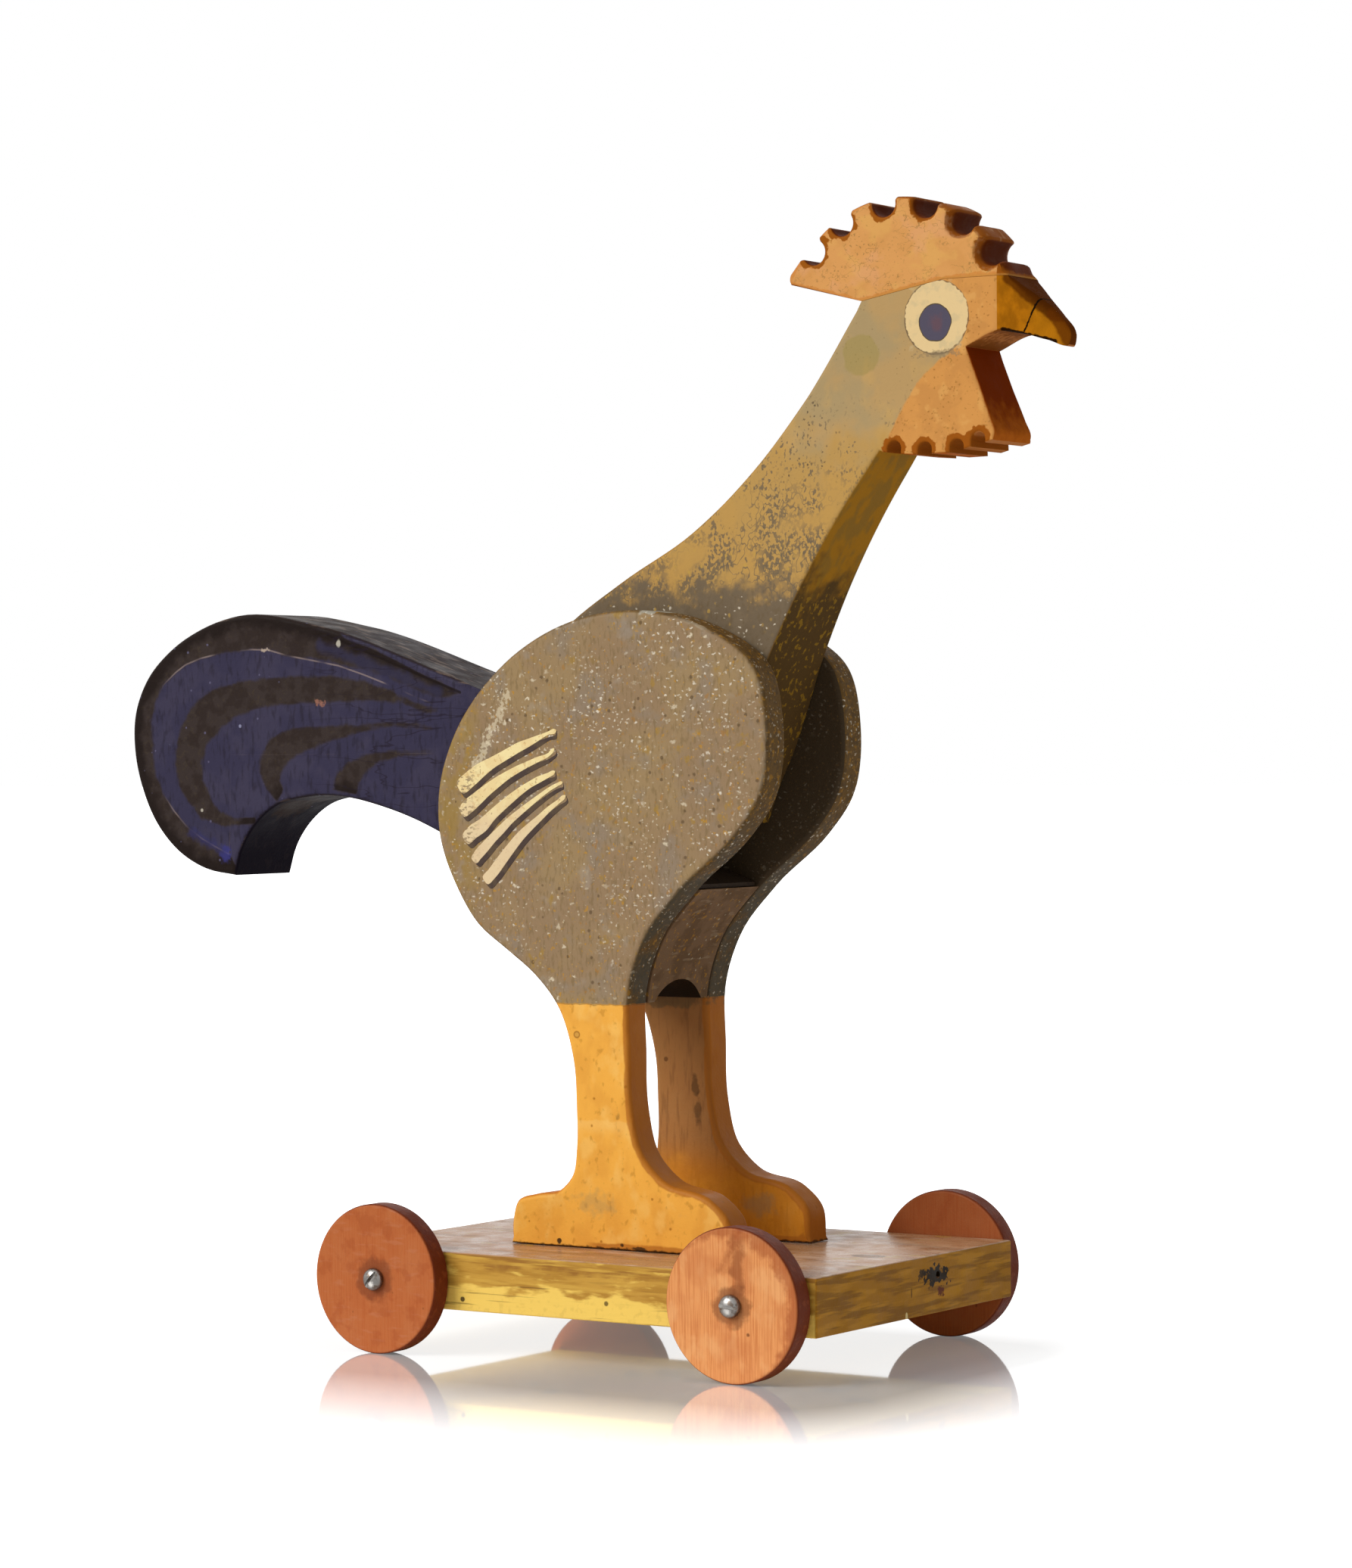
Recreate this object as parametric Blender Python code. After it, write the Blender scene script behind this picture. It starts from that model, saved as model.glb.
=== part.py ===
"""A pull-along wooden rooster on a wheeled plank, built from sawn boards.

Sizes are in millimetres and become metres as each mesh is made. The toy faces +X,
+Z is up, the floor is Z = 0, and the origin lies below the middle of its overall box.
Outlines are drawn side on, as X and the height above the top of the plank.
"""

import math

import bmesh
import bpy
from mathutils import Matrix, Vector
from mathutils.geometry import interpolate_bezier

MM = 0.001

# Plank and running gear
WHEEL_DIAMETER = 60.0
WHEEL_THICKNESS = 9.6
WHEEL_ARRIS = 1.2
PLANK_LENGTH = 226.0
PLANK_WIDTH = 150.0
PLANK_THICKNESS = 23.0
PLANK_ARRIS = 0.8
PLANK_CENTRE_X = 41.0
FRONT_AXLE_INSET = 31.8
REAR_AXLE_INSET = 24.1
CORD_HOLE_DIAMETER = 3.0
CORD_HOLE_DEPTH = 14.0
CORD_HOLE_Y = 16.0
CORD_HOLE_LIFT = 3.5

# Round-headed axle screws and countersunk foot screws
AXLE_SHANK = 4.6
AXLE_GRIP = 32.0
AXLE_HEAD_DIAMETER = 9.0
AXLE_HEAD_HEIGHT = 3.2
AXLE_HEAD_RIM = 0.6
AXLE_SLOT_WIDTH = 1.3
AXLE_SLOT_DEPTH = 1.5
AXLE_SLOT_DEGREES = {
    ("front", "right"): 5.0,
    ("rear", "right"): 130.0,
    ("front", "left"): 80.0,
    ("rear", "left"): 25.0,
}
FOOT_SHANK = 4.4
FOOT_HEAD_DIAMETER = 8.6
FOOT_HEAD_HEIGHT = 3.0
FOOT_HEAD_RIM = 0.4
FOOT_SCREW_BITE = 15.0
FOOT_SCREW_SINK = 0.6
SCREW_POINT = 6.0

# Boards of the bird
SIDE_THICKNESS = 14.5
BODY_GAP = 44.0
SIDE_ARRIS = 2.4
CENTRE_ARRIS = 2.0
TAIL_END_THICKNESS = 39.0
TAIL_TAPER = (-50.0, -175.0)
HEAD_THICKNESS = 27.0
NECK_TAPER = (225.0, 338.0)
SPACER_BOTTOM = 98.4
SPACER_TOP = 144.0
ARCH_HALF_WIDTH = 17.0
ARCH_HEIGHT = 8.5
NECK_REAR_X = -14.0
NECK_FLOOR = 170.0
TONGUE_REAR_X = 1.5
TONGUE_TIP_X = 65.9
TONGUE_TIP_THICKNESS = 1.6

# Comb, wattle and beak
COMB_CENTRE = (155.3, 361.6)
COMB_RADIUS = 52.4
COMB_REAR_ARRIS = 1.1
COMB_FRONT_ARRIS = (3.2, 6.8)
COMB_WORN_ANGLES = (96.0, 60.0)
COMB_NOTCH_RADIUS = 4.9
COMB_NOTCH_DEPTH = 7.2
COMB_NOTCH_ANGLES = (138.6, 119.5, 96.5, 75.5, 55.0, 34.5)
COMB_FRONT_ANGLE = 24.0
SEAM_ARRIS = 0.4
WATTLE_ARRIS = 1.1
WATTLE_NOTCH_RADIUS = 3.0
WATTLE_NOTCH_DEPTH = 4.8
BEAK_START = 200.0
BEAK_TIP_SHARE = 0.17
BEAK_ROUND = 5.0
BEAK_ROUND_RATIO = 3.0

# Hidden dowels
DOWEL_DIAMETER = 8.0
DOWEL_DEPTH = 8.0
COMB_DOWEL_DIAMETER = 5.0
COMB_DOWEL_DEPTH = 10.0

# Clearances
SEAT = 0.3
RUNNING_GAP = 0.6
BORE_CLEARANCE = 0.35

# How finely curves are cut into facets
TURN_PER_FACET = math.radians(9.0)
LONGEST_FACET = 24.0
NOTCH_FACETS = 6
WHEEL_FACETS = 56
SCREW_FACETS = 20
DOWEL_FACETS = 16
DOME_FACETS = 4
SHARP_ANGLE = math.radians(34.0)
SHARPEST_MITRE = 0.35

PLANK_MIDDLE_Z = WHEEL_DIAMETER / 2
PLANK_TOP_Z = PLANK_MIDDLE_Z + PLANK_THICKNESS / 2
PLANK_BOTTOM_Z = PLANK_MIDDLE_Z - PLANK_THICKNESS / 2
WHEEL_INNER_Y = PLANK_WIDTH / 2 + RUNNING_GAP
FRONT_AXLE_X = PLANK_CENTRE_X + PLANK_LENGTH / 2 - FRONT_AXLE_INSET
REAR_AXLE_X = PLANK_CENTRE_X - PLANK_LENGTH / 2 + REAR_AXLE_INSET
FOOT_Y = (BODY_GAP + SIDE_THICKNESS) / 2
CENTRE_THICKNESS = BODY_GAP - 2 * SEAT
TONGUE_FLOOR = SPACER_TOP + SEAT

CORNER = True

# Round body, leg and foot, sawn in one piece, clockwise from the back of the heel
SIDE_KNOTS = (
    (-15.1, SEAT, CORNER),
    (-15.1, 10.0),
    (-12.4, 17.6),
    (-3.5, 20.6),
    (8.5, 23.0),
    (14.1, 28.6),
    (16.3, 40.0),
    (16.5, 56.0),
    (14.9, 76.0),
    (8.3, 95.5),
    (-3.2, 108.8),
    (-17.7, 119.2),
    (-31.7, 129.2),
    (-43.2, 145.5),
    (-50.7, 164.5),
    (-51.3, 183.0),
    (-42.7, 207.5),
    (-21.0, 232.8),
    (6.0, 248.6),
    (39.5, 255.5),
    (79.0, 248.5),
    (102.8, 232.6),
    (108.7, 207.2),
    (104.7, 180.3),
    (93.5, 165.5),
    (68.0, 144.0),
    (50.0, 123.0),
    (42.7, 101.5),
    (42.8, 80.0),
    (43.9, 55.0),
    (49.0, 38.0),
    (59.0, 28.5),
    (80.5, 22.3),
    (89.1, 14.3),
    (90.8, SEAT, CORNER),
)

# Back of the neck, from the tail joint up to the seat of the comb
NECK_BACK_KNOTS = (
    (NECK_REAR_X, NECK_FLOOR, CORNER),
    (NECK_REAR_X, 235.0, CORNER),
    (1.0, 249.4),
    (27.7, 267.0),
    (61.8, 286.3),
    (90.0, 310.2),
    (112.5, 336.2),
    (139.5, 374.2, CORNER),
)
# The comb stands on these three points of the head
HEAD_TOP = ((139.5, 374.2), (176.5, 380.6), (204.0, 380.4))
# Rear lobe of the comb, up to its first notch
COMB_REAR_POINTS = ((106.9, 382.6), (105.7, 385.4), (112.2, 393.0))
# Beak from its root over the tip and back under to the throat
BEAK_KNOTS = (
    (204.0, 380.4, CORNER),
    (212.0, 373.6),
    (220.9, 365.4),
    (226.1, 357.4),
    (225.1, 353.3),
    (217.7, 355.4),
    (201.0, 359.4),
    (186.3, 353.9, CORNER),
)
# Front edge of the wattle, down to its rounded corner
WATTLE_FRONT_KNOTS = (
    (186.3, 353.9, CORNER),
    (191.4, 341.0),
    (197.3, 326.2),
    (199.4, 320.4),
    (198.7, 317.6),
)
# Lower edge of the wattle: its line and the middle of each notch
WATTLE_EDGE = ((198.7, 317.6), (181.8, 313.6), (162.5, 313.2), (148.1, 315.2))
WATTLE_NOTCH_XS = (192.1, 182.7, 168.5, 154.7)
# Breast, from the wattle down to the foot of the neck
BREAST_KNOTS = (
    (148.1, 315.2, CORNER),
    (129.9, 289.6),
    (111.1, 257.6),
    (100.7, 236.5),
    (85.1, 197.0),
    (80.3, 187.4),
    (73.4, NECK_FLOOR, CORNER),
)

# Tail, from the tongue that lies on the spacer round the hook and back under the neck
TAIL_KNOTS = (
    (TONGUE_TIP_X, TONGUE_FLOOR, CORNER),
    (-27.0, TONGUE_FLOOR, CORNER),
    (-49.7, 160.0),
    (-68.7, 169.1),
    (-91.7, 176.6),
    (-113.7, 180.9),
    (-132.7, 180.8),
    (-149.5, 177.0),
    (-160.7, 169.1),
    (-168.1, 159.2),
    (-172.2, 147.2, CORNER),
    (-188.7, 149.8),
    (-203.7, 157.2),
    (-214.7, 167.6),
    (-223.1, 182.5),
    (-227.7, 199.0),
    (-227.3, 217.4),
    (-220.5, 231.8),
    (-208.2, 243.4),
    (-190.0, 253.0),
    (-169.7, 258.2),
    (-126.5, 253.2),
    (-63.7, 233.5),
    (NECK_REAR_X - SEAT, 216.0, CORNER),
    (NECK_REAR_X - SEAT, NECK_FLOOR - SEAT, CORNER),
    (TONGUE_REAR_X, NECK_FLOOR - SEAT, CORNER),
    (TONGUE_TIP_X, TONGUE_FLOOR + TONGUE_TIP_THICKNESS, CORNER),
)

BEAK_TIP_X = max(knot[0] for knot in BEAK_KNOTS)

# Where the hidden dowels cross the boards, as X and height
NECK_DOWELS = ((14.0, 214.0), (60.0, 190.0))
TAIL_DOWELS = ((-31.0, 204.0), (-29.0, 172.0))
SPACER_DOWELS = ((2.0, 128.0), (36.0, 120.0))
COMB_DOWEL_XS = (160.0, 188.0)
FOOT_SCREW_XS = (-1.0, 66.0)


def clear_scene():
    for obj in list(bpy.data.objects):
        bpy.data.objects.remove(obj)


def paint(name, colour, roughness, metallic=0.0):
    """A plain painted or bare surface of its own for one piece."""
    material = bpy.data.materials.new(name)
    material.use_nodes = True
    shader = material.node_tree.nodes["Principled BSDF"]
    shader.inputs["Base Color"].default_value = (*colour, 1.0)
    shader.inputs["Roughness"].default_value = roughness
    shader.inputs["Metallic"].default_value = metallic
    material.diffuse_color = (*colour, 1.0)
    return material


def add_object(name, bm, material=None):
    """Turns a mesh drawn in millimetres into an object, smooth on its round stretches."""
    bmesh.ops.recalc_face_normals(bm, faces=bm.faces)
    bmesh.ops.scale(bm, vec=(MM, MM, MM), verts=bm.verts)
    mesh = bpy.data.meshes.new(name)
    bm.to_mesh(mesh)
    bm.free()
    mesh.shade_smooth()
    mesh.set_sharp_from_angle(angle=SHARP_ANGLE)
    obj = bpy.data.objects.new(name, mesh)
    bpy.context.scene.collection.objects.link(obj)
    if material is None:
        obj.hide_render = True
        obj.display_type = "WIRE"
    else:
        mesh.materials.append(material)
    return obj


def cut(obj, *cutters):
    for cutter in cutters:
        boolean = obj.modifiers.new("cut_" + cutter.name, "BOOLEAN")
        boolean.operation = "DIFFERENCE"
        boolean.solver = "EXACT"
        boolean.object = cutter


def outline_through(knots, closed=True):
    """Points of a curve through the knots, smooth except at corners."""
    count = len(knots)
    spots = [Vector(knot[:2]) for knot in knots]
    corners = [len(knot) == 3 for knot in knots]
    points = []
    for i in range(count if closed else count - 1):
        j = (i + 1) % count
        start, end = spots[i], spots[j]
        length = (end - start).length
        out_way = travel(spots, corners, i, end - start, closed)
        in_way = travel(spots, corners, j, end - start, closed)
        turn = abs(out_way.angle_signed(end - start)) + abs(in_way.angle_signed(end - start))
        if corners[i] and corners[j]:
            facets = 1
        else:
            facets = max(1, math.ceil(turn / TURN_PER_FACET), math.ceil(length / LONGEST_FACET))
        handles = (
            start.to_3d(),
            (start + out_way * length / 3).to_3d(),
            (end - in_way * length / 3).to_3d(),
            end.to_3d(),
        )
        curve = interpolate_bezier(*handles, facets + 1)
        points += [(p.x, p.y) for p in curve[:-1]]
    if not closed:
        points.append(tuple(spots[-1]))
    return points


def travel(spots, corners, i, chord, closed):
    """Direction of the curve at a knot, or along the chord at a corner or a loose end."""
    count = len(spots)
    if corners[i] or (not closed and i in (0, count - 1)):
        return chord.normalized()
    before = spots[i] - spots[i - 1]
    after = spots[(i + 1) % count] - spots[i]
    blend = before.normalized() * after.length + after.normalized() * before.length
    return blend / (before.length + after.length)


def inset(points, amounts):
    """The closed outline moved inwards by an amount for each point, mitred at corners."""
    count = len(points)
    area = sum(
        points[i][0] * points[(i + 1) % count][1] - points[(i + 1) % count][0] * points[i][1]
        for i in range(count)
    )
    side = 1.0 if area > 0 else -1.0
    moved = []
    for i, amount in enumerate(amounts):
        here = Vector(points[i])
        before = (here - Vector(points[i - 1])).normalized()
        after = (Vector(points[(i + 1) % count]) - here).normalized()
        first = Vector((-before.y, before.x)) * side
        second = Vector((-after.y, after.x)) * side
        mitre = (first + second) / max(1.0 + first.dot(second), SHARPEST_MITRE)
        moved.append(here + mitre * amount)
    return moved


def board(name, points, thickness, insets, material, middle_y=0.0, drops=None):
    """A board of the given outline with both its arrises rounded over.

    insets say point by point how far the arris runs in over the face. drops say how far
    it runs down the edge, where that differs.
    """
    drops = drops or insets
    bm = bmesh.new()
    rings = []
    for side in (-1, 1):
        half = []
        for angle in (0.0, math.pi / 4, math.pi / 2):
            inward = [a * (1.0 - math.sin(angle)) for a in insets]
            down = [d * (1.0 - math.cos(angle)) for d in drops]
            half.append(
                [
                    bm.verts.new((p.x, middle_y + side * (thickness / 2 - d), p.y + PLANK_TOP_Z))
                    for p, d in zip(inset(points, inward), down)
                ]
            )
        rings += half if side < 0 else half[::-1]
    for lower, upper in zip(rings, rings[1:]):
        for i in range(len(points)):
            j = (i + 1) % len(points)
            bm.faces.new((lower[i], lower[j], upper[j], upper[i]))
    faces = [bm.faces.new(rings[0]), bm.faces.new(rings[-1])]
    bm.normal_update()
    bmesh.ops.triangulate(bm, faces=faces)
    return add_object(name, bm, material)


def taper(obj, coordinate, start, end, share):
    """Planes a board thinner about Y = 0 between two places along X or Z, and keeps it so."""
    axis = Vector((1, 0, 0)) if coordinate == 0 else Vector((0, 0, 1))
    bm = bmesh.new()
    bm.from_mesh(obj.data)
    for place in (start, end):
        everything = bm.verts[:] + bm.edges[:] + bm.faces[:]
        bmesh.ops.bisect_plane(bm, geom=everything, plane_co=axis * place * MM, plane_no=axis)
    for vert in bm.verts:
        along = (vert.co[coordinate] / MM - start) / (end - start)
        vert.co.y *= 1.0 + (share - 1.0) * min(max(along, 0.0), 1.0)
    bm.to_mesh(obj.data)
    bm.free()


def turned(name, profile, facets, place, material=None, hollow=False):
    """A solid turned about its own Z, from (radius, height) points that run upwards outside."""
    bm = bmesh.new()
    rings = []
    for radius, height in profile:
        if radius == 0.0:
            rings.append([bm.verts.new((0.0, 0.0, height))])
            continue
        angles = (2 * math.pi * k / facets for k in range(facets))
        rings.append(
            [bm.verts.new((radius * math.cos(a), radius * math.sin(a), height)) for a in angles]
        )
    if hollow:
        rings.append(rings[0])
    for lower, upper in zip(rings, rings[1:]):
        for k in range(facets):
            m = (k + 1) % facets
            corners = [lower[k % len(lower)], lower[m % len(lower)]]
            corners += [upper[m % len(upper)], upper[k % len(upper)]]
            bm.faces.new(dict.fromkeys(corners))
    bmesh.ops.transform(bm, matrix=place, verts=bm.verts)
    return add_object(name, bm, material)


def upright(x, y, z):
    return Matrix.Translation((x, y, z))


def along_y(x, y, z, side):
    """Turns local +Z to point out of the toy on one side: -1 right, +1 left."""
    return Matrix.Translation((x, y, z)) @ Matrix.Rotation(-side * math.pi / 2, 4, "X")


def joined_cutter(name, parts):
    """One cutter from several separate solids."""
    bm = bmesh.new()
    for obj in parts:
        bm.from_mesh(obj.data)
        bpy.data.objects.remove(obj)
    bmesh.ops.scale(bm, vec=(1 / MM, 1 / MM, 1 / MM), verts=bm.verts)
    return add_object(name, bm)


def rod_profile(radius, low, high):
    return ((0.0, low), (radius, low), (radius, high), (0.0, high))


def make_wheels(material):
    radius, bore = WHEEL_DIAMETER / 2, AXLE_SHANK / 2 + BORE_CLEARANCE
    profile = (
        (bore, 0.0),
        (radius - WHEEL_ARRIS, 0.0),
        (radius, WHEEL_ARRIS),
        (radius, WHEEL_THICKNESS - WHEEL_ARRIS),
        (radius - WHEEL_ARRIS, WHEEL_THICKNESS),
        (bore, WHEEL_THICKNESS),
    )
    for end, x in (("front", FRONT_AXLE_X), ("rear", REAR_AXLE_X)):
        for hand, side in (("right", -1), ("left", 1)):
            centre = Vector((x, side * WHEEL_INNER_Y, PLANK_MIDDLE_Z))
            turn = along_y(0, 0, 0, side)
            wheel = turned(f"wheel_{end}_{hand}", profile, WHEEL_FACETS, turn, material, True)
            wheel.location = centre * MM


def dome(radius, height, base):
    """Profile of a round head from its rim to its crown."""
    angles = [k * math.pi / 2 / DOME_FACETS for k in range(1, DOME_FACETS)]
    slope = tuple((radius * math.cos(a), base + height * math.sin(a)) for a in angles)
    return slope + ((0.0, base + height),)


def make_axle_screws(material):
    shank, head = AXLE_SHANK / 2, AXLE_HEAD_DIAMETER / 2
    length = AXLE_GRIP + WHEEL_THICKNESS + 2 * RUNNING_GAP
    profile = (
        (0.0, -length),
        (shank, SCREW_POINT - length),
        (shank, 0.0),
        (head, 0.0),
        (head, AXLE_HEAD_RIM),
    ) + dome(head, AXLE_HEAD_HEIGHT - AXLE_HEAD_RIM, AXLE_HEAD_RIM)
    head_y = WHEEL_INNER_Y + WHEEL_THICKNESS + RUNNING_GAP
    for (end, hand), degrees in AXLE_SLOT_DEGREES.items():
        side = -1 if hand == "right" else 1
        x = FRONT_AXLE_X if end == "front" else REAR_AXLE_X
        place = along_y(x, side * head_y, PLANK_MIDDLE_Z, side)
        screw = turned(f"axle_screw_{end}_{hand}", profile, SCREW_FACETS, place, material)
        cut(screw, slot_cutter(f"slot_{end}_{hand}", place, degrees))


def slot_cutter(name, place, degrees):
    bm = bmesh.new()
    size = (AXLE_HEAD_DIAMETER * 1.2, AXLE_SLOT_WIDTH, AXLE_SLOT_DEPTH * 2)
    bmesh.ops.create_cube(bm, size=1.0, matrix=Matrix.Diagonal((*size, 1.0)))
    turn = Matrix.Rotation(math.radians(degrees), 4, "Z")
    lift = Matrix.Translation((0.0, 0.0, AXLE_HEAD_HEIGHT))
    bmesh.ops.transform(bm, matrix=place @ lift @ turn, verts=bm.verts)
    return add_object(name, bm)


def axle_bores():
    """Pilot holes in the edges of the plank, a seat wider and deeper than the screws."""
    bore = AXLE_SHANK / 2 + SEAT
    profile = rod_profile(bore, -AXLE_GRIP - SEAT, RUNNING_GAP)
    parts = [
        turned("bore", profile, SCREW_FACETS, along_y(x, side * PLANK_WIDTH / 2, PLANK_MIDDLE_Z, side))
        for x in (FRONT_AXLE_X, REAR_AXLE_X)
        for side in (-1, 1)
    ]
    return joined_cutter("axle_bores", parts)


def foot_screw_profile(grow):
    """Countersunk screw seen point up, or its hole when it is grown by a clearance."""
    shank, head = FOOT_SHANK / 2 + grow, FOOT_HEAD_DIAMETER / 2 + grow
    base = FOOT_SCREW_SINK if grow == 0.0 else -FOOT_SCREW_SINK
    top = PLANK_THICKNESS + FOOT_SCREW_BITE + grow
    return (
        (0.0, base),
        (head, base),
        (head, FOOT_SCREW_SINK + FOOT_HEAD_RIM),
        (shank, FOOT_SCREW_SINK + FOOT_HEAD_HEIGHT),
        (shank, top - SCREW_POINT),
        (0.0, top) if grow == 0.0 else (shank, top),
    ) + (() if grow == 0.0 else ((0.0, top),))


def make_foot_screws(material):
    for hand, side in (("right", -1), ("left", 1)):
        for end, x in zip(("heel", "toe"), FOOT_SCREW_XS):
            place = upright(x, side * FOOT_Y, PLANK_BOTTOM_Z)
            turned(f"foot_screw_{hand}_{end}", foot_screw_profile(0.0), SCREW_FACETS, place, material)


def foot_bores():
    parts = [
        turned("bore", foot_screw_profile(SEAT), SCREW_FACETS, upright(x, side * FOOT_Y, PLANK_BOTTOM_Z))
        for x in FOOT_SCREW_XS
        for side in (-1, 1)
    ]
    return joined_cutter("foot_bores", parts)


def make_plank(material, *cutters):
    bm = bmesh.new()
    size = (PLANK_LENGTH, PLANK_WIDTH, PLANK_THICKNESS)
    place = Matrix.Translation((PLANK_CENTRE_X, 0.0, PLANK_MIDDLE_Z)) @ Matrix.Diagonal((*size, 1.0))
    bmesh.ops.create_cube(bm, size=1.0, matrix=place)
    bmesh.ops.bevel(bm, geom=bm.edges[:], offset=PLANK_ARRIS, segments=2, profile=0.5, affect="EDGES")
    front_x = PLANK_CENTRE_X + PLANK_LENGTH / 2
    front = Matrix.Translation((front_x, CORD_HOLE_Y, PLANK_MIDDLE_Z + CORD_HOLE_LIFT))
    drill = front @ Matrix.Rotation(math.pi / 2, 4, "Y")
    hole = rod_profile(CORD_HOLE_DIAMETER / 2, -CORD_HOLE_DEPTH, RUNNING_GAP)
    plank = add_object("plank", bm, material)
    cut(plank, *cutters, turned("cord_hole", hole, DOWEL_FACETS, drill))


def make_side_boards(material, *cutters):
    points = outline_through(SIDE_KNOTS)
    arris = [SIDE_ARRIS] * len(points)
    for hand, side in (("right", -1), ("left", 1)):
        middle = side * FOOT_Y
        piece = board(f"side_board_{hand}", points, SIDE_THICKNESS, arris, material, middle)
        cut(piece, *cutters)


def make_spacer(material, *cutters):
    """Block between the thighs: the body's own outline from one height to another."""
    rows = outline_through(SIDE_KNOTS)
    top_of_body = max(range(len(rows)), key=lambda i: rows[i][1])
    back = between_heights(rows[: top_of_body + 1])
    front = between_heights(rows[top_of_body:])
    points = back + front
    spacer = board("leg_spacer", points, CENTRE_THICKNESS, [SEAT] * len(points), material)
    radius = (ARCH_HALF_WIDTH**2 + ARCH_HEIGHT**2) / (2 * ARCH_HEIGHT)
    depth = PLANK_LENGTH
    place = Matrix.Translation((0.0, 0.0, PLANK_TOP_Z + SPACER_BOTTOM + ARCH_HEIGHT - radius))
    along_x = Matrix.Rotation(math.pi / 2, 4, "Y")
    arch = turned("arch", rod_profile(radius, -depth, depth), WHEEL_FACETS, place @ along_x)
    cut(spacer, arch, *cutters)


def between_heights(points):
    """The stretch of an outline between the bottom and the top of the spacer."""
    kept = []
    for (x0, h0), (x1, h1) in zip(points, points[1:]):
        for level in sorted((SPACER_BOTTOM, SPACER_TOP), reverse=h1 < h0):
            if min(h0, h1) < level <= max(h0, h1):
                share = (level - h0) / (h1 - h0)
                kept.append((x0 + share * (x1 - x0), level))
        if SPACER_BOTTOM < h1 < SPACER_TOP:
            kept.append((x1, h1))
    return kept


def notched_line(line, notch_xs):
    """A straight-sided edge, right to left, with half-round notches cut up into it."""
    points = [line[0]]
    middle_lift = WATTLE_NOTCH_DEPTH - WATTLE_NOTCH_RADIUS
    for x in notch_xs:
        base = height_on(line, x)
        for k in range(NOTCH_FACETS + 1):
            angle = math.pi * k / NOTCH_FACETS
            points.append(
                (
                    x + WATTLE_NOTCH_RADIUS * math.cos(angle),
                    base + middle_lift + WATTLE_NOTCH_RADIUS * math.sin(angle),
                )
            )
        rim = WATTLE_NOTCH_RADIUS
        points.insert(len(points) - NOTCH_FACETS - 1, (x + rim, height_on(line, x + rim)))
        points.append((x - rim, height_on(line, x - rim)))
    points.append(line[-1])
    return points


def height_on(line, x):
    for (x0, h0), (x1, h1) in zip(line, line[1:]):
        if x1 <= x <= x0:
            return h0 + (h1 - h0) * (x - x0) / (x1 - x0)
    return line[-1][1]


def beak_round(x):
    """How far the rounding of the beak's top runs in over its side, widest short of the tip."""
    along = (x - BEAK_KNOTS[0][0]) / (BEAK_TIP_X - BEAK_KNOTS[0][0])
    return WATTLE_ARRIS + (BEAK_ROUND - WATTLE_ARRIS) * math.sin(math.pi * along**2)


def make_neck_and_head(material, *cutters):
    """Neck, head, beak and wattle in one board that thins from the body to the head."""
    back = outline_through(NECK_BACK_KNOTS, closed=False)[:-1]
    beak = outline_through(BEAK_KNOTS, closed=False)[:-1]
    tip = max(range(len(beak)), key=lambda i: beak[i][0])
    wattle = outline_through(WATTLE_FRONT_KNOTS, closed=False)[:-1]
    lower = notched_line(WATTLE_EDGE, WATTLE_NOTCH_XS)[:-1]
    breast = outline_through(BREAST_KNOTS, closed=False)
    rounded = [beak_round(x) for x, h in beak[:tip]]
    before = [CENTRE_ARRIS] * len(back) + [SEAM_ARRIS] * (len(HEAD_TOP) - 1)
    after = [WATTLE_ARRIS] * (len(beak) - tip) + [CENTRE_ARRIS] * len(wattle)
    after += [WATTLE_ARRIS] * len(lower) + [CENTRE_ARRIS] * len(breast)
    points = back + list(HEAD_TOP[:-1]) + beak + wattle + lower + breast
    insets = before + rounded + after
    drops = before + [reach * BEAK_ROUND_RATIO for reach in rounded] + after
    piece = board("neck_and_head", points, CENTRE_THICKNESS, insets, material, drops=drops)
    start, end = (height + PLANK_TOP_Z for height in NECK_TAPER)
    taper(piece, 2, start, end, HEAD_THICKNESS / CENTRE_THICKNESS)
    taper(piece, 0, BEAK_START, BEAK_TIP_X, BEAK_TIP_SHARE)
    cut(piece, *cutters)


def comb_arris(x, height):
    """How far the comb is rounded in over its face and down its edge: more from its crown on."""
    angle = math.degrees(math.atan2(height - COMB_CENTRE[1], x - COMB_CENTRE[0]))
    rear, front = COMB_WORN_ANGLES
    worn = min(max((rear - angle) / (rear - front), 0.0), 1.0)
    return [COMB_REAR_ARRIS + (reach - COMB_REAR_ARRIS) * worn for reach in COMB_FRONT_ARRIS]


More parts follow.
